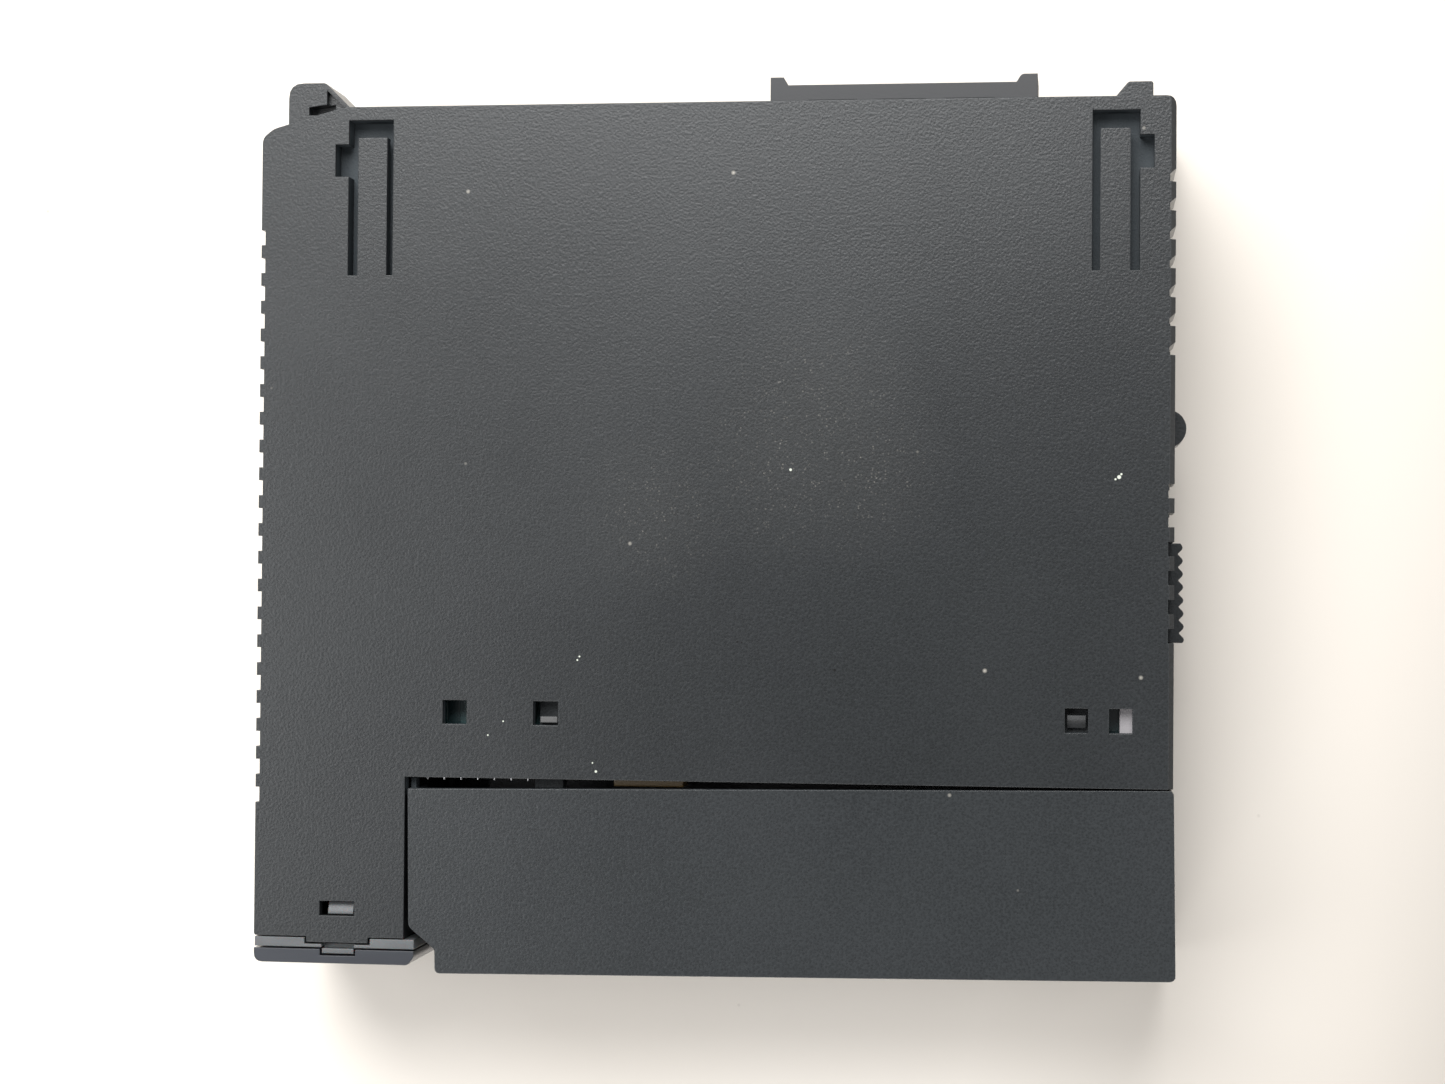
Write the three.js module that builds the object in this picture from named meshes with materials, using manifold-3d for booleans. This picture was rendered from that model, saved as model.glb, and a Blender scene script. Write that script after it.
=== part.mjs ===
// Rack-mounted PLC input/output module: a black moulded case lying on its left side.
// The case holds a circuit board, a lit indicator head, a swing-out terminal board with a
// hinged door, a sprung release lever and the hooks that hang it on a backplane.
//
// Millimetres. X runs from the module's top end (-) to its bottom end (+), Y from its front (-)
// to its rear (+), Z from its left side face (0) up to its right side face (WIDTH).

import * as THREE from 'three';
import { mergeVertices } from 'three/addons/utils/BufferGeometryUtils.js';
import Module from 'manifold-3d';

const wasm = await Module();
wasm.setup();

// ---------------------------------------------------------------- driving dimensions

const WIDTH = 34; // side face to side face
const TOP_X = -65; // outer face of the top wall
const BOTTOM_X = 65; // outer face of the bottom wall
const REAR_Y = 47.9; // outer face of the rear wall
const FRONT_Y = -47.9; // front edge of the case beside the terminal board
const WALL = 1.8; // case wall thickness
const FIT = 0.3; // clearance between neighbouring pieces

// indicator head, which stands forward at the top end
const HEAD_FRONT_Y = -70.9;
const HEAD_WALL_X = -43.1; // outer face of the head's lower wall
const HEAD_TONGUE = { x0: -57.3, x1: -48.3, reach: 0.8 };
const HEAD_WINDOW = { x0: -55.4, x1: -50.3, y0: -67.9, y1: -65.8 };
const LENS_END_X = -41.6; // lower end of the lens and its light guide
const LENS_REAR_Y = -72.7;
const LENS_FRONT_Y = -74.7;
const GUIDE_REAR_Y = HEAD_FRONT_Y - 0.2;
const GUIDE_FRONT_Y = -72.45;
const LED_BOARD = { y0: -62.0, y1: -60.6, z0: 4, z1: 30 };
const THUMB = { x0: -55, x1: -50.4, front: -73.3 }; // prising notch between the head and the lens

// hook at the top end of the rear: its foot lies inside the case's rear corner
const HOOK = { x0: -64.7, x1: -55.2, foot: 42.5, tip: 53.7, tipX: -59.1, slant: 3.9 };
const HOOK_WEB = { depth: 1.2, wall: 1.0 }; // shallow pocket behind the hook's slanted face
const HOOK_THROAT = { depth: 2.4, x0: -61.6, x1: -57.9, y0: 48.9, y1: 50.1 };

// vents
const VENT_PITCH = 4;
const TOP_VENT = { firstY: 30.3, count: 21, length: 2.15, depth: 0.57 };
const REAR_VENT = { firstY: 37.84, count: 7, length: 1.85, depth: 0.85 };
const FRONT_VENT = { firstY: -5.81, count: 6, length: 1.98, depth: 0.85 };
const BOTTOM_CHAMFER = 0.7;
const TOP_GRILLES = [[5, 16], [18, 29]]; // stretches of the width where the top vents go through
const BOTTOM_GRILLES = [[4, 9.5], [24.5, 30]];

// flexing tongues in the side walls and the windows that the inner snaps catch in
const TONGUES = [
  { x0: -52.25, x1: -45.7, tip0: -50.85, tip1: -46.6, niche0: -54.2, niche1: -52.1 },
  { x0: 53.5, x1: 60.05, tip0: 54.6, tip1: 58.75, niche0: 59.9, niche1: 62.0 },
];
const TONGUE_ROOT_Y = 23.7;
const TONGUE_TIP_Y = 43.45;
const TONGUE_SLOT_Y = 46.0;
const NICHE = { y0: 37.9, y1: 42.55 };
const POCKET = { depth: 3.0, floor: 0.9, wall: 1.4 }; // blind pocket behind each tongue
const WINDOW_Y0 = -40.3;
const WINDOW_Y1 = -36.9;
const WINDOWS_X = [[-37.7, -34.2], [-24.6, -21.0], [50.15, 53.35], [56.2, 59.4]];

// central band of the width, where the hooks, connector and release lever lie
const BAND_Z0 = 12;
const BAND_Z1 = 22;
const CHANNEL_Z0 = BAND_Z0 - 0.4;
const CHANNEL_Z1 = BAND_Z1 + 0.4;

// backplane connector
const PLUG = { x0: 7.2, x1: 45.7, front: 36, rear: 52.3, ears: 53.45 };
const PLUG_MOUTH = { inset: 3.4, front: 42, z0: 13.6, z1: 20.4 };
const PLUG_GROOVE = { starts: [5.4, 15.2, 25.2], length: 7.2, y0: 49.8, y1: 50.05, depth: 0.4 };
const INSERT = { inset: 4.2, z0: 16.1, z1: 17.9 }; // tongue that carries the contacts

// release lever, a see-saw on a pin in the bottom wall
const LEVER_PIN = { x: 62.6, y: 2.5, r: 0.9 };
const LEVER_BUMP = { x: 64.3, r: 2.7 };
const LEVER_PIN_LENGTH = 14.4;
const LEVER_FACE_X = 64.0;
const LEVER_BACK_X = 62.2;
const PAD = { y0: -27.93, y1: -13.8, tip: 66.8, height: 0.65, lean: 0.036, blunt: 0.12 };
const TEETH = { count: 8, pitch: 1.87, firstTip: -27.5 };
const LEVER_REAR_Y = 44.5;
const LEVER_HOOK_Y = 52.1;

// torsion spring round the lever's pin: a short coil with two straight legs
const SPRING = { z0: 15.2, z1: 18.8, coilR: 1.4, wireR: 0.2, turns: 3, legs: 3.2 };

// front carrier: the plate that closes the case's front, with its snaps, flaps and openings
const CARRIER_X0 = -41.3; // top end of the plate
const CARRIER_FLAPS = [[-24.0, -18.5], [47.5, 55.5]];
const FLAP = { reach: -35.4, thick: 1.6 };
const NIB = { y0: -39.95, y1: -39.1, depth: 0.9 }; // step in the second window
const CARRIER_RIB = { x0: -24.6, x1: -20.6, reach: 1.4, thick: 2.4 };
const HOOK_HOLE = { x0: 58.4, x1: 62.4 };
const KEY = { x0: -13.5, x1: -3.5, z0: 25.8, z1: 30.6, thick: 1.0, stem: 1.5 }; // coding key

// main circuit board, close under the right side wall with its parts hanging below it
const BOARD_Z0 = 27.2;
const BOARD_Z1 = 28.8;
const BOARD_X = 62.6;
const BOARD_FRONT_Y = -44;
const BOARD_REAR_Y = 44;
const PART_Z = BOARD_Z0 - 0.15; // upper end of what hangs under the board
const RETAINER = { x0: 57.65, x1: 60.95, y0: -41.8, y1: -35.6, pegR: 1 };
const RELAY = { xs: [-50, -34, -18, -2], length: 12, y0: -20, y1: 4, height: 13 };
const BOARD_HOLES = { r: 1.6, places: [[-56, -26], [40, -27], [-56, 39], [52, 39]] };
const GUIDE = { reach: 1.3, gap: 0.2, thick: 1.5 }; // ribs that hold the board's edges

// terminal board, drawn fully home; it swings about a corner at its bottom end
const SWING = { x: 63.9, y: -49.3, r: 0.7 };
const RELEASED = THREE.MathUtils.degToRad(0.8); // it rests this far out
const TB = { x0: -42.65, x1: 65.1, rear: -48.1, front: -74.3, skin: 1.5 };
const TB_CORNER = { x: -38.85, y0: -67.7, y1: -70.9 };
const TB_TAB = { wide: 0.75, reach: 1.5, thick: 2 }; // on the rear of the top end wall
const TB_BLOCK = { x0: -37, x1: 60, rear: -50, front: -60 };
const TROUGH = { x0: -36, x1: 56, z0: 14.2, z1: 19.8, front: -58 };
const FINGER = { x0: -34, x1: 54, z0: 15, z1: 19, front: -53.5 }; // header finger in the trough
const LEVER_ROOM_Z0 = 8.3; // gap in the terminal board's top end for the jacking lever
const LEVER_ROOM_Z1 = 25.7;

// terminal screws
const SCREW = { perRow: 10, pitch: 9.1, firstX: -31.7, headR: 3.0, head: 1.5, shankR: 1.5 };
const SCREW_ROWS_Z = [8.9, 25.1];
const CLAMP_ROOM = 1.5; // between the block and a screw head
const BARRIER_FRONT_Y = -66;

// door, inset in the terminal board's front and hinged along its left edge
const DOOR = { x0: -38.55, x1: 63.4, z1: WIDTH - TB.skin - FIT, thick: 1.3, rear: -72.9 };
const HINGE = { y: DOOR.rear - DOOR.thick / 2, z: 2.5, pinR: 0.45, pin: 1.1 };

// jacking lever beside the head
const JACK_PIN = { x: -41.0, y: -54.6, r: 0.7 };
const JACK_Z0 = 10;
const JACK_Z1 = 24;
const LUG = 1.4; // thickness of the bosses that hold the jacking lever's pin

const CURVE_STEPS = 4; // straight pieces in a quarter-round corner
const ROUND_SIDES = 20;

// ---------------------------------------------------------------- finishes

const BLACK_PLASTIC = { color: 0x2b2d2f, roughness: 0.62, metalness: 0 };
const LEVER_PLASTIC = { color: 0x232527, roughness: 0.5, metalness: 0 };
const SMOKED_LENS = { color: 0x1d2026, roughness: 0.22, metalness: 0 };
const LIGHT_GUIDE = { color: 0x8d8f90, roughness: 0.4, metalness: 0 };
const PALE_PLASTIC = { color: 0xa9a6a3, roughness: 0.5, metalness: 0 };
const AMBER_PLASTIC = { color: 0x8a4e14, roughness: 0.4, metalness: 0 };
const CONNECTOR_PLASTIC = { color: 0x1c1d1f, roughness: 0.45, metalness: 0 };
const CIRCUIT_BOARD = { color: 0x1f4f50, roughness: 0.4, metalness: 0 };
const CHIP_EPOXY = { color: 0x141414, roughness: 0.55, metalness: 0 };
const RELAY_CASE = { color: 0xd9d9d4, roughness: 0.4, metalness: 0 };
const CAPACITOR_CAN = { color: 0x9a9ca0, roughness: 0.3, metalness: 0.8 };
const STEEL = { color: 0xa8aaad, roughness: 0.3, metalness: 1 };
const LABEL_PAPER = { color: 0xe6e4dc, roughness: 0.8, metalness: 0 };

// ---------------------------------------------------------------- solids

function toSolid(geometry) {
  geometry.deleteAttribute('normal');
  geometry.deleteAttribute('uv');
  const merged = mergeVertices(geometry, 1e-4);
  return new wasm.Manifold(new wasm.Mesh({
    numProp: 3,
    vertProperties: new Float32Array(merged.attributes.position.array),
    triVerts: new Uint32Array(merged.index.array),
  }));
}

function toMesh(name, solid, finish) {
  const { vertProperties, triVerts } = solid.getMesh();
  const geometry = new THREE.BufferGeometry();
  geometry.setAttribute('position', new THREE.BufferAttribute(vertProperties, 3));
  geometry.setIndex(new THREE.BufferAttribute(triVerts, 1));
  geometry.computeVertexNormals();
  const mesh = new THREE.Mesh(geometry, new THREE.MeshStandardMaterial(finish));
  mesh.name = name;
  return mesh;
}

const join = (first, ...others) => others.reduce((sum, solid) => sum.add(solid), first);
const cut = (body, ...tools) => tools.reduce((rest, tool) => rest.subtract(tool), body);

function box(xa, xb, ya, yb, za, zb) {
  const size = [xb - xa, yb - ya, zb - za].map(Math.abs);
  const geometry = new THREE.BoxGeometry(...size);
  geometry.translate((xa + xb) / 2, (ya + yb) / 2, (za + zb) / 2);
  return toSolid(geometry);
}

// Closed outline through [x, y] corners; a third number rounds that corner.
function outline(corners) {
  const shape = new THREE.Shape();
  corners.forEach(([x, y, radius = 0], i) => {
    const corner = new THREE.Vector2(x, y);
    const before = new THREE.Vector2(...corners.at(i - 1));
    const after = new THREE.Vector2(...corners[(i + 1) % corners.length]);
    const start = corner.clone().add(before.sub(corner).setLength(radius));
    const end = corner.clone().add(after.sub(corner).setLength(radius));
    if (i === 0) shape.moveTo(start.x, start.y);
    else shape.lineTo(start.x, start.y);
    if (radius > 0) shape.quadraticCurveTo(x, y, end.x, end.y);
  });
  shape.closePath();
  return shape;
}

// An outline pushed from a to b along one axis. Its corners are [y, z] along x, [z, x] along y
// and [x, y] along z.
const X_AXIS = new THREE.Vector3(1, 0, 0);
const Y_AXIS = new THREE.Vector3(0, 1, 0);
const Z_AXIS = new THREE.Vector3(0, 0, 1);
const AXES = {
  x: [Y_AXIS, Z_AXIS, X_AXIS],
  y: [Z_AXIS, X_AXIS, Y_AXIS],
  z: [X_AXIS, Y_AXIS, Z_AXIS],
};

function prism(axis, corners, a, b) {
  const low = Math.min(a, b);
  const depth = Math.abs(b - a);
  const options = { depth, bevelEnabled: false, curveSegments: CURVE_STEPS };
  const geometry = new THREE.ExtrudeGeometry(outline(corners), options);
  geometry.translate(0, 0, low);
  geometry.applyMatrix4(new THREE.Matrix4().makeBasis(...AXES[axis]));
  return toSolid(geometry);
}

function cylinder(axis, radius, [x, y, z], length, sides = ROUND_SIDES) {
  const geometry = new THREE.CylinderGeometry(radius, radius, length, sides);
  if (axis === 'z') geometry.rotateX(Math.PI / 2);
  if (axis === 'x') geometry.rotateZ(Math.PI / 2);
  geometry.translate(x, y, z);
  return toSolid(geometry);
}

// Heights measured inwards from the right side face and from the left one.
const SIDES = [(depth) => WIDTH - depth, (depth) => depth];

function onBothSides(make) {
  return SIDES.flatMap((level) => make(level));
}

// ---------------------------------------------------------------- case

function caseOutline() {
  return [
    [TOP_X, HEAD_FRONT_Y, 0.4],
    [HEAD_TONGUE.x0, HEAD_FRONT_Y],
    [HEAD_TONGUE.x0, HEAD_FRONT_Y - HEAD_TONGUE.reach, 0.2],
    [HEAD_TONGUE.x1, HEAD_FRONT_Y - HEAD_TONGUE.reach, 0.2],
    [HEAD_TONGUE.x1, HEAD_FRONT_Y],
    [HEAD_WALL_X, HEAD_FRONT_Y],
    [HEAD_WALL_X, FRONT_Y],
    [BOTTOM_X, FRONT_Y],
    [BOTTOM_X, REAR_Y, 1.4],
    [-53.0, REAR_Y, 1.0],
    [-63.4, 44.9, 0.6],
    [TOP_X, 43.6, 0.8],
  ];
}

function caseHollow() {
  const z0 = WALL;
  const z1 = WIDTH - WALL;
  const chamber = [
    [TOP_X + WALL, FRONT_Y + WALL],
    [BOTTOM_X - WALL, FRONT_Y + WALL],
    [BOTTOM_X - WALL, REAR_Y - WALL],
    [-53.2, REAR_Y - WALL],
    [TOP_X + WALL, 43.0],
  ];
  return [
    prism('z', chamber, z0, z1),
    box(HEAD_WALL_X, BOTTOM_X - WALL, FRONT_Y - 1, FRONT_Y + WALL + 0.1, z0, z1),
    box(TOP_X + WALL, HEAD_WALL_X - WALL, HEAD_FRONT_Y - 2, FRONT_Y + WALL + 0.1, z0, z1),
    // between the side walls, the front rim has no tongue
    box(HEAD_TONGUE.x0 - 1, HEAD_TONGUE.x1 + 1, HEAD_FRONT_Y - 2, HEAD_FRONT_Y, z0, z1),
  ];
}

function topVents() {
  const { firstY, count, length, depth } = TOP_VENT;
  return Array.from({ length: count }, (_, i) => firstY - i * VENT_PITCH).flatMap((y) => [
    box(TOP_X - 1, TOP_X + depth, y - length, y, -1, WIDTH + 1),
    ...TOP_GRILLES.map(([z0, z1]) => box(TOP_X - 1, TOP_X + WALL + 0.2, y - length, y, z0, z1)),
  ]);
}

function bottomVents({ firstY, count, length, depth }, lead) {
  const floor = BOTTOM_X - depth;
  return Array.from({ length: count }, (_, i) => firstY - i * VENT_PITCH).flatMap((y) => [
    prism('z', [
      [BOTTOM_X + 1, y + (lead > 0 ? 1 : 0)],
      [floor, y - lead],
      [floor, y - length],
      [BOTTOM_X + 1, y - length],
    ], -1, WIDTH + 1),
    ...BOTTOM_GRILLES.map(([z0, z1]) => (
      box(BOTTOM_X - WALL - 0.2, BOTTOM_X + 1, y - length, y - lead, z0, z1)
    )),
  ]);
}

function sideOpenings() {
  return onBothSides((level) => {
    const slots = TONGUES.map(({ x0, x1, tip0, tip1 }) => cut(
      box(x0, x1, TONGUE_ROOT_Y, TONGUE_SLOT_Y, level(-1), level(POCKET.depth)),
      box(tip0, tip1, TONGUE_ROOT_Y - 1, TONGUE_TIP_Y, level(-2), level(WALL)),
    ));
    const niches = TONGUES.map(({ niche0, niche1 }) => (
      box(niche0, niche1, NICHE.y0, NICHE.y1, level(-1), level(POCKET.depth))
    ));
    const windows = WINDOWS_X.map(([x0, x1]) => (
      box(x0, x1, WINDOW_Y0, WINDOW_Y1, level(-1), level(WALL + 0.5))
    ));
    const { x0, x1, y0, y1 } = HEAD_WINDOW;
    return [...slots, ...niches, ...windows, box(x0, x1, y0, y1, level(-1), level(WALL + 0.5))];
  });
}

// Blocks inside the side walls that close the tongues' slots off from the inside of the case.
function tonguePockets() {
  return onBothSides((level) => TONGUES.map(({ x0, x1, niche0, niche1 }) => box(
    Math.min(x0, niche0) - POCKET.wall, Math.max(x1, niche1) + POCKET.wall,
    TONGUE_ROOT_Y - 1, TONGUE_SLOT_Y + 1,
    level(WALL - 0.1), level(POCKET.depth + POCKET.floor),
  )));
}

function bottomEdgeChamfers() {
  const tip = BOTTOM_X - BOTTOM_CHAMFER;
  return onBothSides((level) => prism('y', [
    [level(-1), tip - 1],
    [level(-1), BOTTOM_X + 1],
    [level(BOTTOM_CHAMFER + 1), BOTTOM_X + 1],
  ], FRONT_Y - 1, REAR_Y + 1));
}

// Hook that hangs the module's top end on the backplane, with its pockets cored out.
function pivotHook() {
  const { x0, x1, foot, tip, tipX, slant } = HOOK;
  const hook = prism('z', [
    [x0, foot],
    [x0, tip, 2.2],
    [tipX, tip, 0.4],
    [x1, tip - slant],
    [x1, foot + 4],
  ], BAND_Z0, BAND_Z1);
  const webRight = x1 - HOOK_WEB.wall + 0.3;
  const web = [[tipX + 0.2, 48.2], [tipX + 0.2, 52.6], [webRight, 49.6], [webRight, 48.2]];
  const throat = HOOK_THROAT;
  const throatOutline = [
    [throat.x0, throat.y0], [throat.x0, throat.y1], [throat.x1, throat.y1 + 0.5], [throat.x1, throat.y0],
  ];
  const pockets = [[web, HOOK_WEB.depth], [throatOutline, throat.depth]].flatMap(([shape, depth]) => [
    prism('z', shape, BAND_Z1 - depth, BAND_Z1 + 1),
    prism('z', shape, BAND_Z0 - 1, BAND_Z0 + depth),
  ]);
  return cut(hook, ...pockets);
}

// Pairs of ribs on the end walls that the circuit board slides between.
function boardGuides() {
  const { reach, gap, thick } = GUIDE;
  const wallX = BOTTOM_X - WALL;
  const heights = [
    [BOARD_Z0 - gap - thick, BOARD_Z0 - gap],
    [BOARD_Z1 + gap, BOARD_Z1 + gap + thick],
  ];
  return [-1, 1].flatMap((side) => heights.map(([z0, z1]) => (
    box(side * (wallX + 0.3), side * (wallX - reach), BOARD_FRONT_Y, BOARD_REAR_Y - 4, z0, z1)
  )));
}

function leverBosses() {
  const { x, y } = LEVER_PIN;
  return [[CHANNEL_Z0 - 2, CHANNEL_Z0], [CHANNEL_Z1, CHANNEL_Z1 + 2]].map(([z0, z1]) => (
    box(x - 1.8, BOTTOM_X - WALL + 0.3, y - 2.4, y + 2.4, z0, z1)
  ));
}

function jackLugs() {
  const { x, y } = JACK_PIN;
  return [[JACK_Z0 - LUG, JACK_Z0 - FIT], [JACK_Z1 + FIT, JACK_Z1 + LUG]].map(([z0, z1]) => (
    box(HEAD_WALL_X - FIT, x + LUG, y - 1.7, y + 1.7, z0, z1)
  ));
}

// Rails on the top wall, one on each side of the indicator board.
function ledBoardRails() {
  const thick = 1.2;
  return [LED_BOARD.y0 - thick, LED_BOARD.y1 + 0.2].map((y) => (
    box(TOP_X + WALL - 0.2, TOP_X + WALL + 1.4, y, y + thick, LED_BOARD.z0 + 2, LED_BOARD.z1 - 2)
  ));
}

function housingShell() {
  const shell = cut(prism('z', caseOutline(), 0, WIDTH), ...caseHollow());
  const fitted = join(
    shell,
    pivotHook(),
    ...tonguePockets(),
    ...boardGuides(),
    ...leverBosses(),
    ...jackLugs(),
    ...ledBoardRails(),
  );
  const leverChannel = box(
    BOTTOM_X - WALL - 0.01, BOTTOM_X + 2, -31, REAR_Y + 1, CHANNEL_Z0, CHANNEL_Z1,
  );
  const hookSlot = box(55.6, BOTTOM_X, REAR_Y - WALL - 0.5, REAR_Y + 1, CHANNEL_Z0, CHANNEL_Z1);
  const plugHole = box(
    PLUG.x0 - FIT, PLUG.x1 + FIT, REAR_Y - WALL - 0.5, REAR_Y + 1, CHANNEL_Z0, CHANNEL_Z1,
  );
  const jackRecess = box(
    HEAD_WALL_X - WALL - 1, HEAD_WALL_X + 1, HEAD_FRONT_Y - 1, -57.6, JACK_Z0 - 0.4, JACK_Z1 + 0.4,
  );
  const pinMiddle = WIDTH / 2;
  return cut(
    fitted,
    ...topVents(),
    ...bottomVents(REAR_VENT, REAR_VENT.depth),
    ...bottomVents(FRONT_VENT, 0),
    ...sideOpenings(),
    ...bottomEdgeChamfers(),
    leverChannel,
    hookSlot,
    plugHole,
    jackRecess,
    cylinder('z', LEVER_PIN.r + 0.1, [LEVER_PIN.x, LEVER_PIN.y, pinMiddle], LEVER_PIN_LENGTH + 1),
    cylinder('z', JACK_PIN.r + 0.1, [JACK_PIN.x, JACK_PIN.y, pinMiddle], WIDTH - 12),
  );
}

// ---------------------------------------------------------------- indicator head

function ledBoard() {
  const { y0, y1, z0, z1 } = LED_BOARD;
  return box(TOP_X + WALL + 0.4, HEAD_WALL_X - WALL - 2.1, y0, y1, z0, z1);
}

// Translucent light guide: a rim between head and lens, a plug inside the head and two snaps.
function lightGuide() {
  const rim = prism('z', [
    [TOP_X + 0.1, GUIDE_REAR_Y],
    [TOP_X + 0.1, GUIDE_FRONT_Y],
    [LENS_END_X, GUIDE_FRONT_Y],
    [LENS_END_X, GUIDE_REAR_Y],
  ], 0.15, WIDTH - 0.15);
  const plugX = [TOP_X + WALL + FIT, HEAD_WALL_X - WALL - 2];
  const plug = cut(
    box(...plugX, GUIDE_REAR_Y - 0.3, -68.3, WALL + FIT, WIDTH - WALL - FIT),
    box(plugX[0] + 1.3, plugX[1] - 1.3, GUIDE_REAR_Y, -68, WALL + FIT + 1.3, WIDTH - WALL - FIT - 1.3),
  );
  const edge = WALL + FIT;
  const { x0, x1, y0, y1 } = HEAD_WINDOW;
  const snaps = onBothSides((level) => [
    box(x0 + 1.1, x1 - 0.3, GUIDE_REAR_Y - 0.2, y1 + 1.2, level(edge), level(edge + 1.3)),
    prism('x', [
      [y0 + 0.2, level(edge + 0.2)],
      [y0 + 0.2, level(0.7)],
      [y0 + 0.7, level(0.7)],
      [y1 - 0.2, level(1.3)],
      [y1 - 0.2, level(edge + 0.2)],
    ], x0 + 1.1, x1 - 0.3),
    box(THUMB.x0, THUMB.x1, THUMB.front, GUIDE_FRONT_Y + 0.1, level(0.2), level(1.9)),
  ]);
  const clearances = onBothSides((level) => [
    box(
      HEAD_TONGUE.x0 - 0.3, HEAD_TONGUE.x1 + 0.3, HEAD_FRONT_Y - HEAD_TONGUE.reach - 0.3, HEAD_FRONT_Y,
      level(-1), level(WALL + FIT),
    ),
    box(THUMB.x0 - 0.1, THUMB.x1 + 0.1, GUIDE_FRONT_Y - 0.15, HEAD_FRONT_Y - 0.5, level(-1), level(1.5)),
  ]);
  return cut(join(rim, plug, ...snaps), ...clearances);
}

function lensCap() {
  const cap = prism('z', [
    [TOP_X, LENS_REAR_Y],
    [TOP_X, LENS_FRONT_Y, 1.3],
    [LENS_END_X - 0.9, LENS_FRONT_Y, 0.3],
    [LENS_END_X, LENS_FRONT_Y + 1.1, 0.3],
    [LENS_END_X, LENS_REAR_Y],
  ], 0.05, WIDTH - 0.05);
  const hollow = box(TOP_X + 3, LENS_END_X - 2.5, LENS_FRONT_Y + 1, LENS_REAR_Y + 1, 3, WIDTH - 3);
  const notches = onBothSides((level) => (
    box(THUMB.x0 - FIT, THUMB.x1 + FIT, THUMB.front - FIT, LENS_REAR_Y + 1, level(-1), level(2.2))
  ));
  return cut(cap, hollow, ...notches);
}

// ---------------------------------------------------------------- front carrier and circuit board

// Closes the case beside the head. Its side flaps snap into the windows.
function frontCarrier() {
  const edge = WALL + FIT;
  const plate = box(
    CARRIER_X0, BOTTOM_X - WALL - FIT, FRONT_Y + 0.3, FRONT_Y + 2.1, edge, WIDTH - edge,
  );
  const [, second, third] = WINDOWS_X;
  const snapsAndFlaps = onBothSides((level) => [
    ...CARRIER_FLAPS.map(([x0, x1]) => (
      box(x0, x1, FRONT_Y + 2, FLAP.reach, level(edge), level(edge + FLAP.thick))
    )),
    box(second[0] + 0.9, second[1] - 0.25, NIB.y0, NIB.y1, level(NIB.depth), level(edge + 0.2)),
    prism('x', [
      [-39.7, level(edge + 0.2)],
      [-39.7, level(1.5)],
      [-38.5, level(0.8)],
      [-37.9, level(0.8)],
      [-37.9, level(edge + 0.2)],
    ], third[0] + 0.3, third[1] - 0.3),
    // locating rib that stands forward inside the terminal board's side wall
    box(
      CARRIER_RIB.x0, CARRIER_RIB.x1, FRONT_Y - CARRIER_RIB.reach, FRONT_Y + 0.5,
      level(edge + 0.05), level(edge + CARRIER_RIB.thick),
    ),
  ]);
  const fingerHole = box(
    FINGER.x0 - 0.6, FINGER.x1 + 0.6, FRONT_Y - 1, FRONT_Y + 3, FINGER.z0 - 0.6, FINGER.z1 + 0.6,
  );
  const hookHole = box(HOOK_HOLE.x0, HOOK_HOLE.x1, FRONT_Y - 1, FRONT_Y + 3, BAND_Z0, BAND_Z1);
  const keyRoom = KEY.stem - FIT;
  const keyHole = box(
    KEY.x0 + keyRoom, KEY.x1 - keyRoom, FRONT_Y - 1, FRONT_Y + 3, KEY.z0 + 0.9, KEY.z1 - 0.9,
  );
  return cut(join(plate, ...snapsAndFlaps), fingerHole, hookHole, keyHole);
}

// Amber coding key that plugs into the carrier and shows in the gap behind the terminal board.
function codingKey() {
  const { x0, x1, z0, z1, thick, stem } = KEY;
  return join(
    box(x0, x1, FRONT_Y - 0.1 - thick, FRONT_Y - 0.1, z0, z1),
    box(x0 + stem, x1 - stem, FRONT_Y - 0.2, FRONT_Y + 3.0, z0 + 1.2, z1 - 1.2),
  );
}

// Pale spacer pegged into the circuit board's front corner, which ends under the last window.
function boardRetainer() {
  const { x0, x1, y0, y1, pegR } = RETAINER;
  return join(
    box(x0, x1, y0, y1, BOARD_Z1 + 0.15, WIDTH - WALL - 0.2),
    cylinder('z', pegR, [(x0 + x1) / 2, (y0 + y1) / 2, BOARD_Z0 + 0.5], BOARD_Z1 - BOARD_Z0 + 1.8),
  );
}

function circuitBoard() {
  const { x0, x1, y0, y1, pegR } = RETAINER;
  const blank = box(-BOARD_X, BOARD_X, BOARD_FRONT_Y, BOARD_REAR_Y, BOARD_Z0, BOARD_Z1);
  const holes = BOARD_HOLES.places.map(([x, y]) => cylinder('z', BOARD_HOLES.r, [x, y, BOARD_Z0], 6));
  const pegHole = cylinder('z', pegR + 0.15, [(x0 + x1) / 2, (y0 + y1) / 2, BOARD_Z0], 6);
  const hookCorner = box(-70, -54, 42, 50, BOARD_Z0 - 1, BOARD_Z1 + 1);
  return cut(blank, hookCorner, pegHole, ...holes);
}

// Header soldered to the circuit board; its long finger plugs into the terminal board.
function fieldHeader() {
  return join(
    box(FINGER.x0, FINGER.x1, -31.5, -25.5, FINGER.z0, PART_Z),
    box(FINGER.x0, FINGER.x1, FINGER.front, -31, FINGER.z0, FINGER.z1),
  );
}

// ---------------------------------------------------------------- backplane connector

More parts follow.
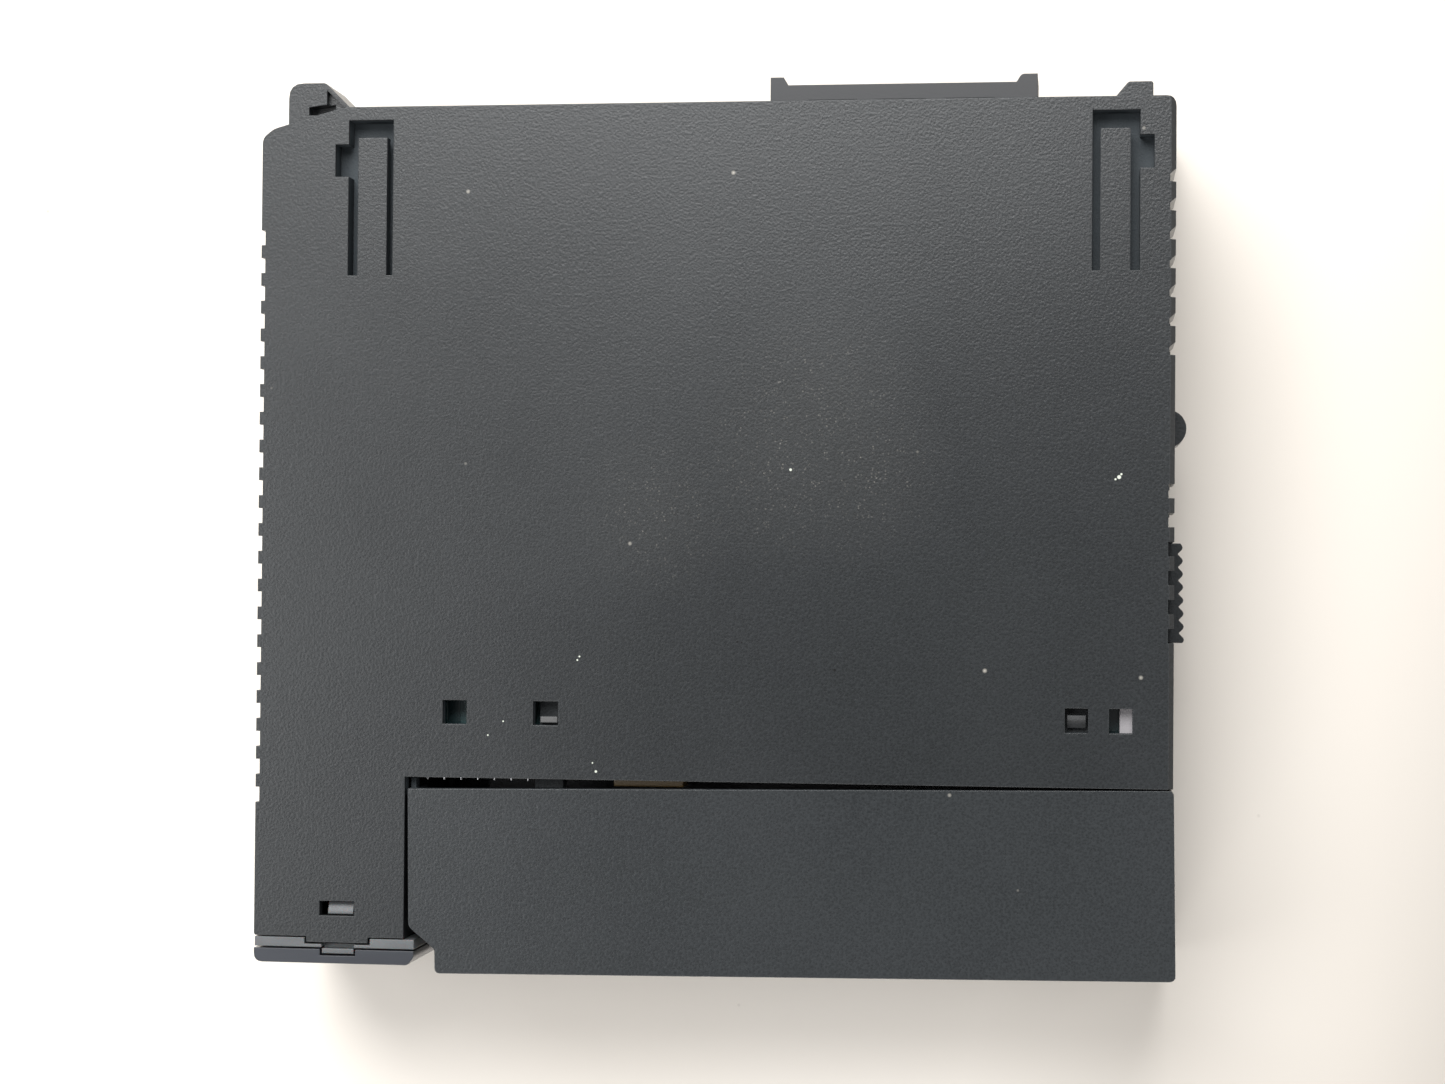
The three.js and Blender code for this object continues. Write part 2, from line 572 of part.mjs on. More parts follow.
function backplaneConnector() {
  const { x0, x1, front, rear, ears } = PLUG;
  const body = prism('z', [
    [x0, front],
    [x1, front],
    [x1, ears],
    [x1 - 2.3, ears, 0.5],
    [x1 - 3.0, rear],
    [x0 + 2.6, rear],
    [x0 + 1.9, ears],
    [x0, ears],
  ], BAND_Z0, BAND_Z1);
  const foot = box(x0, x1, front, PLUG_MOUTH.front, BAND_Z1 - 0.5, PART_Z);
  const { inset, z0, z1 } = PLUG_MOUTH;
  const mouth = box(x0 + inset, x1 - inset, PLUG_MOUTH.front, ears + 1, z0, z1);
  const { starts, length, y0, y1, depth } = PLUG_GROOVE;
  const grooves = starts.flatMap((start) => [
    box(x0 + start, x0 + start + length, y0, y1, BAND_Z1 - depth, BAND_Z1 + 1),
    box(x0 + start, x0 + start + length, y0, y1, BAND_Z0 - 1, BAND_Z0 + depth),
  ]);
  return cut(join(body, foot), mouth, ...grooves);
}

function contactInsert() {
  const { x0, x1, rear } = PLUG;
  const { inset, z0, z1 } = INSERT;
  return box(x0 + inset, x1 - inset, PLUG_MOUTH.front + FIT, rear - 0.8, z0, z1);
}

// ---------------------------------------------------------------- release lever

// Blunt saw teeth of the thumb pad, which stands a little further out towards its front end.
function padTeeth() {
  const { y0, y1, tip, height, lean, blunt } = PAD;
  const { count, pitch, firstTip } = TEETH;
  return Array.from({ length: count }, (_, i) => {
    const y = firstTip + i * pitch;
    const x = tip - i * lean;
    return [
      i === 0 ? [x - height / 2, y0] : [x - height, y - 0.46 * pitch],
      [x - blunt, y - 0.17 * pitch],
      [x, y],
      [x - blunt, y + 0.17 * pitch],
      i === count - 1 ? [x - height / 2, y1] : [x - height, y + 0.46 * pitch],
    ];
  }).flat();
}

function releaseLever() {
  const z0 = CHANNEL_Z0 + 0.45;
  const z1 = CHANNEL_Z1 - 0.45;
  const bar = prism('z', [
    [LEVER_BACK_X, PAD.y0, 0.4],
    ...padTeeth(),
    [LEVER_FACE_X, PAD.y1],
    [LEVER_FACE_X, LEVER_REAR_Y, 0.6],
    [62.1, LEVER_REAR_Y + 1.2],
    [62.1, LEVER_HOOK_Y, 0.4],
    [58.6, LEVER_HOOK_Y, 0.3],
    [56.9, 50.1],
    [56.9, 49.3],
    [59.4, 49.3],
    [59.4, 41.5, 0.5],
    [LEVER_BACK_X, 39.5, 0.5],
  ], z0, z1);
  const { x, y, r } = LEVER_PIN;
  const bump = cylinder('z', LEVER_BUMP.r, [LEVER_BUMP.x, y, (z0 + z1) / 2], z1 - z0, 28);
  const hub = cylinder('z', r + 1.1, [x, y, (z0 + z1) / 2], z1 - z0);
  const bore = cylinder('z', r + 0.12, [x, y, (z0 + z1) / 2], z1 - z0 + 2);
  const springRoom = box(x - 4, x + 2.1, y - 3.6, y + 3.6, SPRING.z0 - 0.4, SPRING.z1 + 0.4);
  return cut(join(bar, bump, hub), bore, springRoom);
}

class SpringPath extends THREE.Curve {
  getPoint(t, target = new THREE.Vector3()) {
    const { z0, z1, coilR, wireR, turns, legs } = SPRING;
    const legShare = 0.12;
    const along = THREE.MathUtils.clamp((t - legShare) / (1 - 2 * legShare), 0, 1);
    const angle = Math.PI + along * 2 * Math.PI * turns;
    const low = z0 + wireR;
    const height = low + along * (z1 - z0 - 2 * wireR);
    const before = Math.max(0, legShare - t) / legShare;
    const after = Math.max(0, t - 1 + legShare) / legShare;
    return target.set(
      LEVER_PIN.x + coilR * Math.cos(angle),
      LEVER_PIN.y + coilR * Math.sin(angle) + legs * (before - after),
      height,
    );
  }
}

function leverSpring() {
  const section = new THREE.Shape();
  section.absarc(0, 0, SPRING.wireR, 0, 2 * Math.PI);
  const steps = 60;
  const options = { steps, extrudePath: new SpringPath(), curveSegments: 3 };
  return toSolid(new THREE.ExtrudeGeometry(section, options));
}

function leverPin() {
  return cylinder('z', LEVER_PIN.r, [LEVER_PIN.x, LEVER_PIN.y, WIDTH / 2], LEVER_PIN_LENGTH);
}

// ---------------------------------------------------------------- jacking lever

function jackLever() {
  const { x, y, r } = JACK_PIN;
  const middle = (JACK_Z0 + JACK_Z1) / 2;
  const arm = prism('z', [
    [x - 1.0, y],
    [x - 1.0, -70.9, 0.5],
    [x + 1.9, -70.9, 0.6],
    [x + 1.9, -69.6, 0.4],
    [x + 0.5, -68.9, 0.4],
    [x + 0.4, y],
  ], JACK_Z0, JACK_Z1);
  const nose = prism('z', [
    [x, y - 1.2],
    [x + 2.5, y + 0.5, 0.3],
    [x + 2.4, y + 1.2, 0.3],
    [x, y + 1.3],
  ], JACK_Z0, JACK_Z1);
  const hub = cylinder('z', 1.4, [x, y, middle], JACK_Z1 - JACK_Z0);
  const bore = cylinder('z', r + 0.12, [x, y, middle], JACK_Z1 - JACK_Z0 + 2);
  return cut(join(arm, nose, hub), bore);
}

function jackPin() {
  return cylinder('z', JACK_PIN.r, [JACK_PIN.x, JACK_PIN.y, WIDTH / 2], JACK_Z1 - JACK_Z0 + 2.8);
}

// ---------------------------------------------------------------- terminal board and door

function terminalSideWalls() {
  return onBothSides((level) => prism('z', [
    [TB.x0, TB.rear],
    [TB.x0, TB_CORNER.y0, 0.6],
    [TB_CORNER.x, TB_CORNER.y1, 0.4],
    [TB_CORNER.x, TB.front, 0.8],
    [TB.x1, TB.front, 0.9],
    [TB.x1, TB.rear, SWING.r],
  ], level(0), level(TB.skin)));
}

function screwPlaces() {
  return SCREW_ROWS_Z.flatMap((z, row) => (
    Array.from({ length: SCREW.perRow }, (_, i) => [
      SCREW.firstX + (i + row / 2) * SCREW.pitch, TB_BLOCK.front - CLAMP_ROOM, z,
    ])
  ));
}

function barriers() {
  const half = 0.6;
  const reach = SCREW.pitch / 2;
  return SCREW_ROWS_Z.flatMap((z, row) => (
    Array.from({ length: SCREW.perRow + 1 }, (_, i) => {
      const x = SCREW.firstX + (i + row / 2) * SCREW.pitch - reach;
      return box(x - half, x + half, BARRIER_FRONT_Y, TB_BLOCK.front + 0.5, z - 4.6, z + 4.6);
    })
  ));
}

function terminalBoard() {
  const { x0, x1, rear, front } = TB_BLOCK;
  const block = box(x0, x1, rear, front, TB.skin - 0.1, WIDTH - TB.skin + 0.1);
  const bottomWall = prism('z', [
    [TB.x1 - 1.4, TB.front + 0.4],
    [TB.x1, TB.front + 0.4],
    [TB.x1, TB.rear, SWING.r],
    [TB.x1 - 1.4, TB.rear - 0.6],
  ], 0.5, WIDTH - 0.5);
  const floor = box(x1 - 0.5, TB.x1 - 0.5, rear, rear - 2, TB.skin - 0.1, WIDTH - TB.skin + 0.1);
  const topWalls = [[TB.skin - 0.1, LEVER_ROOM_Z0], [LEVER_ROOM_Z1, WIDTH - TB.skin + 0.1]].map(
    ([z0, z1]) => box(TB.x0, TB.x0 + 1.0, TB.rear + 0.05, TB_CORNER.y0 + 0.4, z0, z1),
  );
  const tabs = onBothSides((level) => [box(
    TB.x0, TB.x0 + TB_TAB.wide, TB.rear - 1, TB.rear + TB_TAB.reach,
    level(WALL + FIT), level(WALL + FIT + TB_TAB.thick),
  )]);
  const hingeEar = box(
    TB_CORNER.x - 1.3, TB_CORNER.x - 0.1, TB.front + 0.2, TB_CORNER.y1 + 3, TB.skin - 0.1, 4.2,
  );
  const hook = join(
    box(59.6, 61.6, rear + 3.2, rear - 0.5, BAND_Z0 + 0.7, BAND_Z1 - 0.7),
    box(59.0, 61.6, rear + 3.2, rear + 2.4, BAND_Z0 + 0.7, BAND_Z1 - 0.7),
  );
  const trough = box(TROUGH.x0, TROUGH.x1, rear + 1, TROUGH.front, TROUGH.z0, TROUGH.z1);
  const wireOutlet = box(TB.x1 - 3, TB.x1 + 1, -72.2, -61.5, 4, 30);
  const hingeHoles = cylinder(
    'x', HINGE.pinR + 0.15, [(DOOR.x0 + DOOR.x1) / 2, HINGE.y, HINGE.z],
    DOOR.x1 - DOOR.x0 + 2 * (HINGE.pin + 0.15),
  );
  const shankHoles = screwPlaces().map(([x, y, z]) => (
    cylinder('y', SCREW.shankR + 0.2, [x, y + 3.5, z], 9.4, 12)
  ));
  return cut(
    join(
      ...terminalSideWalls(), block, bottomWall, floor, ...topWalls, ...tabs, hingeEar, hook, ...barriers(),
    ),
    trough,
    wireOutlet,
    hingeHoles,
    ...shankHoles,
  );
}

function terminalScrew() {
  const head = cylinder('y', SCREW.headR, [0, -SCREW.head / 2, 0], SCREW.head, 18);
  const shank = cylinder('y', SCREW.shankR, [0, 3.6, 0], 7.4, 12);
  const slot = box(-SCREW.headR - 1, SCREW.headR + 1, -SCREW.head - 1, -SCREW.head + 0.7, -0.45, 0.45);
  return cut(join(head, shank), slot);
}

function door() {
  const { x0, x1, z1, thick, rear } = DOOR;
  const front = rear - thick;
  const leaf = prism('x', [
    [rear, HINGE.z],
    [rear, z1],
    [front, z1, 0.3],
    [front, HINGE.z],
  ], x0, x1);
  const knuckle = cylinder('x', thick / 2, [(x0 + x1) / 2, HINGE.y, HINGE.z], x1 - x0, 16);
  const pin = cylinder('x', HINGE.pinR, [(x0 + x1) / 2, HINGE.y, HINGE.z], x1 - x0 + 2 * HINGE.pin, 12);
  // lips on the inner face that hold the label's long edges
  const lips = [[4.6, 5.4, 4.6, 6.4], [29.2, 30.0, 28.2, 30.0]].map(([foot0, foot1, lip0, lip1]) => join(
    box(x0 + 2, x1 - 2, rear - 0.1, rear + 0.8, foot0, foot1),
    box(x0 + 2, x1 - 2, rear + 0.7, rear + 1.1, lip0, lip1),
  ));
  return join(leaf, knuckle, pin, ...lips);
}

function doorLabel() {
  return box(DOOR.x0 + 3, DOOR.x1 - 3, DOOR.rear + 0.25, DOOR.rear + 0.5, 5.7, 28.9);
}

// ---------------------------------------------------------------- parts on the circuit board

function roundCan(x, y, radius, height) {
  return cylinder('z', radius, [x, y, PART_Z - height / 2], height, 24);
}

function boardParts() {
  const relays = RELAY.xs.map((x, i) => toMesh(
    `relay_0${i + 1}`,
    box(x, x + RELAY.length, RELAY.y0, RELAY.y1, PART_Z - RELAY.height, PART_Z),
    RELAY_CASE,
  ));
  return [
    ...relays,
    toMesh('controller_chip', box(18, 32, 2, 16, PART_Z - 1.5, PART_Z), CHIP_EPOXY),
    toMesh('interface_chip', box(20, 27, 22, 32, PART_Z - 1.8, PART_Z), CHIP_EPOXY),
    toMesh('capacitor_01', roundCan(-50, 24, 5, 14), CAPACITOR_CAN),
    toMesh('capacitor_02', roundCan(-36, 24, 4, 11), CAPACITOR_CAN),
  ];
}

// ---------------------------------------------------------------- assembly

const module = new THREE.Group();
module.add(
  toMesh('housing_shell', housingShell(), BLACK_PLASTIC),
  toMesh('front_carrier', frontCarrier(), BLACK_PLASTIC),
  toMesh('board_retainer', boardRetainer(), PALE_PLASTIC),
  toMesh('coding_key', codingKey(), AMBER_PLASTIC),
  toMesh('main_circuit_board', circuitBoard(), CIRCUIT_BOARD),
  toMesh('field_header', fieldHeader(), CONNECTOR_PLASTIC),
  toMesh('led_board', ledBoard(), CIRCUIT_BOARD),
  toMesh('light_guide', lightGuide(), LIGHT_GUIDE),
  toMesh('lens_cap', lensCap(), SMOKED_LENS),
  toMesh('backplane_connector', backplaneConnector(), CONNECTOR_PLASTIC),
  toMesh('contact_insert', contactInsert(), CONNECTOR_PLASTIC),
  toMesh('release_lever', releaseLever(), LEVER_PLASTIC),
  toMesh('release_lever_pin', leverPin(), STEEL),
  toMesh('release_lever_spring', leverSpring(), STEEL),
  toMesh('jacking_lever', jackLever(), LEVER_PLASTIC),
  toMesh('jacking_lever_pin', jackPin(), STEEL),
  ...boardParts(),
);

const screws = screwPlaces().map((place, i) => {
  const number = String(i + 1).padStart(2, '0');
  const screw = toMesh(`terminal_screw_${number}`, terminalScrew(), STEEL);
  screw.position.set(...place);
  return screw;
});

// the terminal board and its door, swung out together about the bottom corner
const swung = new THREE.Group();
swung.position.set(-SWING.x, -SWING.y, 0);
swung.add(
  toMesh('terminal_board', terminalBoard(), BLACK_PLASTIC),
  toMesh('terminal_door', door(), BLACK_PLASTIC),
  toMesh('door_label', doorLabel(), LABEL_PAPER),
  ...screws,
);
const corner = new THREE.Group();
corner.position.set(SWING.x, SWING.y, 0);
corner.rotation.z = RELEASED;
corner.add(swung);
module.add(corner);

// origin under the middle of the module
module.updateMatrixWorld(true);
const bounds = new THREE.Box3().setFromObject(module, true);
const middle = bounds.getCenter(new THREE.Vector3());
module.position.set(-middle.x, -middle.y, -bounds.min.z);

export default module;
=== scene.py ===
"""Looks for the rack-mounted PLC module: materials, fine pieces, floor, light and camera.

Everything is in metres in the CAD model's frame. Places come from the CAD boxes, so that no
piece has to be fitted afterwards.
"""
import math

import bmesh
import bpy
from mathutils import Matrix, Vector


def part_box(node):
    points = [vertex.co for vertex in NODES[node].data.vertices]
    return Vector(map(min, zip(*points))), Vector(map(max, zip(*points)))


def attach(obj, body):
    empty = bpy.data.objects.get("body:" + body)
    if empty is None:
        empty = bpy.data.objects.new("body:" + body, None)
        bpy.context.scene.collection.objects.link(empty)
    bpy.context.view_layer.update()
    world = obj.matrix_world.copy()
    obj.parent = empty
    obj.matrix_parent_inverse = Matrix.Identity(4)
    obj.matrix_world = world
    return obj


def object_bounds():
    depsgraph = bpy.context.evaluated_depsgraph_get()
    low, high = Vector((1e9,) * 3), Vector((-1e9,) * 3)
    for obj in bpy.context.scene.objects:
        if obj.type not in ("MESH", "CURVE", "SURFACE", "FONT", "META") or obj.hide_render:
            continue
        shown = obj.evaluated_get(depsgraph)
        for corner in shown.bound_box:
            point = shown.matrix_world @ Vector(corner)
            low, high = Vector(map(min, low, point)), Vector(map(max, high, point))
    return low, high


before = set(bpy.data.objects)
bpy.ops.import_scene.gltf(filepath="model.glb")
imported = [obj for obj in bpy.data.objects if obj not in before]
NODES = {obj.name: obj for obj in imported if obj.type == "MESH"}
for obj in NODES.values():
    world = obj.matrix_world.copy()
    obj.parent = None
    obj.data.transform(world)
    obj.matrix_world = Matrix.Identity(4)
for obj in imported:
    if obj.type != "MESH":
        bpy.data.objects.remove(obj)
cad_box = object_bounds()

MM = 0.001
CASE = "case"
BOARD = "terminal_board"
FACE_Z = cad_box[1][2]

bpy.context.scene.view_settings.view_transform = "Standard"


# ---------------------------------------------------------------- node materials

BEVEL_SAMPLES = 4
# cosines between the true and the rounded normal where an edge starts to show and shows fully
EDGE_SHOWS = (0.985, 0.90)


class Shader:
    """A Principled material with short helpers for its procedural nodes."""

    def __init__(self, name, **values):
        self.material = bpy.data.materials.new(name)
        self.material.use_nodes = True
        self.tree = self.material.node_tree
        self.surface = self.tree.nodes["Principled BSDF"]
        self.place = self.node("ShaderNodeTexCoord").outputs["Object"]
        for key, value in values.items():
            self.surface.inputs[key.replace("_", " ")].default_value = value

    def node(self, kind, settings=(), **inputs):
        made = self.tree.nodes.new(kind)
        for key, value in dict(settings).items():
            setattr(made, key, value)
        for key, value in inputs.items():
            self.put(made.inputs[key.replace("_", " ")], value)
        return made

    def put(self, socket, value):
        if isinstance(value, bpy.types.NodeSocket):
            self.tree.links.new(value, socket)
        else:
            socket.default_value = value

    def math(self, operation, a, b=0.0, c=0.0, clamp=False):
        made = self.tree.nodes.new("ShaderNodeMath")
        made.operation = operation
        made.use_clamp = clamp
        for socket, value in zip(made.inputs, (a, b, c)):
            self.put(socket, value)
        return made.outputs[0]

    def noise(self, scale, detail=3.0, rough=0.55, place=None, stretch=None):
        vector = place or self.place
        if stretch:
            vector = self.node("ShaderNodeMapping", Vector=vector, Scale=stretch).outputs[0]
        made = self.node(
            "ShaderNodeTexNoise", Vector=vector, Scale=scale, Detail=detail, Roughness=rough,
        )
        return made.outputs["Fac"]

    def cells(self, scale, output="Distance", feature="F1"):
        made = self.node(
            "ShaderNodeTexVoronoi", {"feature": feature}, Vector=self.place, Scale=scale,
        )
        return made.outputs[output]

    def remap(self, value, low, high, to_low=0.0, to_high=1.0):
        made = self.node("ShaderNodeMapRange", Value=value)
        for socket, number in zip(made.inputs[1:5], (low, high, to_low, to_high)):
            self.put(socket, number)
        return made.outputs[0]

    def mix(self, share, a, b):
        made = self.node("ShaderNodeMix", {"data_type": "RGBA"})
        self.put(made.inputs[0], share)
        self.put(made.inputs[6], a)
        self.put(made.inputs[7], b)
        return made.outputs[2]

    def bump(self, height, depth, strength=1.0, under=None):
        made = self.node("ShaderNodeBump", Height=height, Distance=depth, Strength=strength)
        if under:
            self.put(made.inputs["Normal"], under)
        return made.outputs[0]

    def rounded(self, radius):
        """Normal rounded off near edges, and a mask that is 1 along those edges."""
        bevel = self.node("ShaderNodeBevel", {"samples": BEVEL_SAMPLES}, Radius=radius)
        soft = bevel.outputs["Normal"]
        flat = self.node("ShaderNodeNewGeometry").outputs["True Normal"]
        product = self.node("ShaderNodeVectorMath", {"operation": "DOT_PRODUCT"})
        self.put(product.inputs[0], soft)
        self.put(product.inputs[1], flat)
        return soft, self.remap(product.outputs["Value"], *EDGE_SHOWS)

    def facing_up(self):
        normal = self.node("ShaderNodeNewGeometry").outputs["Normal"]
        return self.node("ShaderNodeSeparateXYZ", Vector=normal).outputs["Z"]

    def set(self, **links):
        for key, value in links.items():
            self.put(self.surface.inputs[key.replace("_", " ")], value)
        return self.material


def rgb(red, green, blue):
    return (red, green, blue, 1.0)


def toned(colour, factor):
    return rgb(*(channel * factor for channel in colour))


def near(shader, centre, radius, soft):
    """1 within radius of a point, falling to 0 over a soft edge."""
    offset = shader.node("ShaderNodeVectorMath", {"operation": "DISTANCE"})
    shader.put(offset.inputs[0], shader.place)
    shader.put(offset.inputs[1], centre)
    return shader.remap(offset.outputs["Value"], radius, radius + soft, 1.0, 0.0)


def spots(shader, places, soft):
    """1 inside any of the listed spots on the upper side face, 0 away from them."""
    total = 0.0
    for (x, y), radius in places:
        total = shader.math("MAXIMUM", total, near(shader, (x, y, FACE_Z), radius, soft))
    return total


EDGE_RADIUS = 0.00022

# places on the upper side face that carry scuffs, smudges, pale chips and dark pits: (x, y), radius
SCUFFED = [
    ((0.0150, 0.0150), 0.004), ((0.0100, 0.0080), 0.003), ((0.0195, 0.0075), 0.003),
    ((-0.0080, 0.0010), 0.001),
]
SMUDGES = [((-0.0222, 0.0500), 0.0016), ((-0.0150, 0.0502), 0.0013)]
CHIPS = [
    ((0.0559, 0.0058), 0.00010), ((0.0564, 0.0061), 0.00022), ((0.0567, 0.0065), 0.00010),
    ((-0.0193, -0.0200), 0.00008), ((-0.0190, -0.0195), 0.00008), ((-0.0165, -0.0357), 0.00013),
    ((0.0108, 0.0070), 0.00014), ((-0.0170, -0.0345), 0.00006), ((-0.0299, -0.0288), 0.00007),
    ((-0.0321, -0.0308), 0.00007),
]
PITS = [((0.0035, -0.0172), 0.00012), ((0.0041, -0.0173), 0.00010), ((0.0172, -0.0210), 0.00016)]

SCUFF_FADE = 0.012
SMUDGE_FADE = 0.006
CHIP_FADE = 0.00008
PIT_FADE = 0.00006

# broad patch of the upper face that is worn duller than the rest
DULLED = (0.030, -0.025, FACE_Z)
DULLED_RADIUS = 0.012
DULLED_FADE = 0.05

# dust: texture cells per metre, dot radius as a share of a cell, and share of cells with a dot
DUST_CELLS = 420.0
DUST_RADIUS = 0.16
DUST_SHARE = 0.008
SCUFF_CELLS = 2100.0
SCUFF_RADIUS = 0.32
SCUFF_STRENGTH = 0.4
HAZE_STRENGTH = 0.012
UPWARD = (0.6, 0.9)

# stretch of both side faces that holds the slots and windows
RECESS_X = (cad_box[0][0] + 0.0022, cad_box[1][0] - 0.0038)
RECESS_Y = (-0.0395, 0.0575)
# depths over which the painted light and the dust in them begin and end
RECESS_BEGINS = (0.0004, 0.0012)
RECESS_ENDS = (0.006, 0.009)


def dust(shader):
    """Share of pale dust: sparse everywhere on upward faces and thick in the scuffed patches."""
    pick = shader.node("ShaderNodeSeparateColor", Color=shader.cells(DUST_CELLS, "Color"))
    chosen = shader.math("GREATER_THAN", pick.outputs["Red"], 1 - DUST_SHARE)
    dots = shader.remap(shader.cells(DUST_CELLS), 0.0, DUST_RADIUS, 1.0, 0.0)
    sparse = shader.math("MULTIPLY", dots, chosen)
    fine = shader.remap(shader.cells(SCUFF_CELLS), 0.0, SCUFF_RADIUS, 1.0, 0.0)
    patches = spots(shader, SCUFFED, SCUFF_FADE)
    broken = shader.remap(shader.noise(700.0, 3.0), 0.45, 0.64)
    scuff = shader.math("MULTIPLY", shader.math("MULTIPLY", fine, broken), patches)
    upward = shader.remap(shader.facing_up(), *UPWARD)
    haze = shader.math("MULTIPLY", patches, HAZE_STRENGTH)
    thick = shader.math("MULTIPLY_ADD", scuff, SCUFF_STRENGTH, haze)
    total = shader.math("MAXIMUM", sparse, thick)
    return shader.math("MULTIPLY", total, upward, clamp=True)


def recess_light_and_dust(shader):
    """Depth below the nearer side face, and a mask of the slots and windows in both faces, where
    painted light lifts their shade and dust lies.
    """
    part = shader.node("ShaderNodeSeparateXYZ", Vector=shader.place).outputs
    depth = shader.math("MINIMUM", shader.math("SUBTRACT", FACE_Z, part["Z"]), part["Z"])
    below = shader.remap(depth, *RECESS_BEGINS)
    mask = shader.math("MULTIPLY", below, shader.remap(depth, *RECESS_ENDS, 1.0, 0.0))
    for axis, low, high in (("X", *RECESS_X), ("Y", *RECESS_Y)):
        mask = shader.math("MULTIPLY", mask, shader.math("GREATER_THAN", part[axis], low))
        mask = shader.math("MULTIPLY", mask, shader.math("LESS_THAN", part[axis], high))
    uneven = shader.remap(shader.noise(160.0, 3.0), 0.2, 0.8, 0.7, 1.0)
    return depth, shader.math("MULTIPLY", mask, uneven)


# case plastic: grain in cells and waves per metre, its depth in metres, and colours
GRAIN_CELLS = 2900.0
GRAIN_WAVES = 4800.0
GRAIN_DEPTH = 0.00006
GRAIN_STRENGTH = 0.35
CASE_DARK = (0.0090, 0.0105, 0.0115)
CASE_LIGHT = (0.0190, 0.0216, 0.0234)
CASE_WORN = (0.030, 0.034, 0.037)
SMUDGE_COLOUR = rgb(0.009, 0.010, 0.012)
DUST_COLOUR = rgb(0.36, 0.34, 0.30)
CHIP_COLOUR = rgb(0.50, 0.53, 0.46)
PIT_COLOUR = rgb(0.002, 0.002, 0.002)
# painted light: a pale bluish tone that lifts the shade in the slots and windows, with some dust
# there too
RECESS_LIGHT_AND_DUST_COLOUR = rgb(0.050, 0.060, 0.067)
# painted highlight on the carrier's snap nibs
SNAP_HIGHLIGHT_COLOUR = rgb(0.10, 0.10, 0.10)
# the carrier's snaps get a painted highlight down to this depth, most at the low end of this
# stretch along X
SNAP_HIGHLIGHT_DEPTH = (0.0014, 0.0017)
SNAP_HIGHLIGHT_X = (-0.02, 0.05)
SPECULAR = 0.5
SPECULAR_DULLED = 0.35
SPECULAR_RECESS = 0.12


def mark(s, colour, rough):
    """Smudges, dust, chips and pits laid over a case colour and its roughness."""
    broken = s.remap(s.noise(260.0, 3.0), 0.35, 0.7, 0.0, 0.35)
    smudge = s.math("MULTIPLY", spots(s, SMUDGES, SMUDGE_FADE), broken)
    rough = s.math("ADD", rough, s.math("MULTIPLY", smudge, 0.12))
    colour = s.mix(smudge, colour, SMUDGE_COLOUR)
    colour = s.mix(dust(s), colour, DUST_COLOUR)
    colour = s.mix(spots(s, CHIPS, CHIP_FADE), colour, CHIP_COLOUR)
    return s.mix(spots(s, PITS, PIT_FADE), colour, PIT_COLOUR), rough


def case_plastic(name, tone=1.0, marked=False, snap_highlight=False):
    """Charcoal plastic with a fine spark-eroded grain, uneven gloss, painted light lifting the
    shade in its slots and windows, a painted highlight on the carrier's snaps, and, where marked,
    wear.
    """
    s = Shader(name, IOR=1.5)
    cloud = s.noise(22.0, 4.0)
    pebble = s.cells(GRAIN_CELLS, feature="SMOOTH_F1")
    fine = s.noise(GRAIN_WAVES, 3.0)
    height = s.math("ADD", pebble, s.math("MULTIPLY", fine, 0.6))
    shade = s.math("ADD", s.math("MULTIPLY", cloud, 0.5), height)
    colour = s.mix(s.remap(shade, 0.62, 1.18), toned(CASE_DARK, tone), toned(CASE_LIGHT, tone))
    rough = s.math("ADD", s.remap(cloud, 0.3, 0.7, 0.262, 0.305), s.math("MULTIPLY", fine, 0.06))
    specular = SPECULAR
    if marked:
        dulled = near(s, DULLED, DULLED_RADIUS, DULLED_FADE)
        specular = s.remap(dulled, 0.0, 1.0, SPECULAR, SPECULAR_DULLED)
        colour, rough = mark(s, colour, rough)
    depth, recess_light_and_dust_share = recess_light_and_dust(s)
    rough = s.math("ADD", rough, s.math("MULTIPLY", recess_light_and_dust_share, 0.3))
    if snap_highlight:
        # painted highlight on the carrier's snap nibs, fading along X
        along = s.node("ShaderNodeSeparateXYZ", Vector=s.place).outputs["X"]
        fading = s.remap(along, *SNAP_HIGHLIGHT_X, 1.0, 0.3)
        snap_highlight_share = s.math("MULTIPLY", s.remap(depth, *SNAP_HIGHLIGHT_DEPTH, 1.0, 0.0), fading)
        colour = s.mix(snap_highlight_share, colour, SNAP_HIGHLIGHT_COLOUR)
    else:
        # painted light lifts the shade in the slots and windows, with some dust there too
        colour = s.mix(recess_light_and_dust_share, colour, RECESS_LIGHT_AND_DUST_COLOUR)
    soft, edge = s.rounded(EDGE_RADIUS)
    worn = s.math("MULTIPLY", edge, s.remap(s.noise(500.0, 3.0), 0.3, 0.6, 0.35, 1.0))
    return s.set(
        Base_Color=s.mix(worn, colour, toned(CASE_WORN, tone)),
        Roughness=rough,
        Normal=s.bump(height, GRAIN_DEPTH, GRAIN_STRENGTH, soft),
        Specular_IOR_Level=s.remap(recess_light_and_dust_share, 0.0, 1.0, specular, SPECULAR_RECESS),
    )


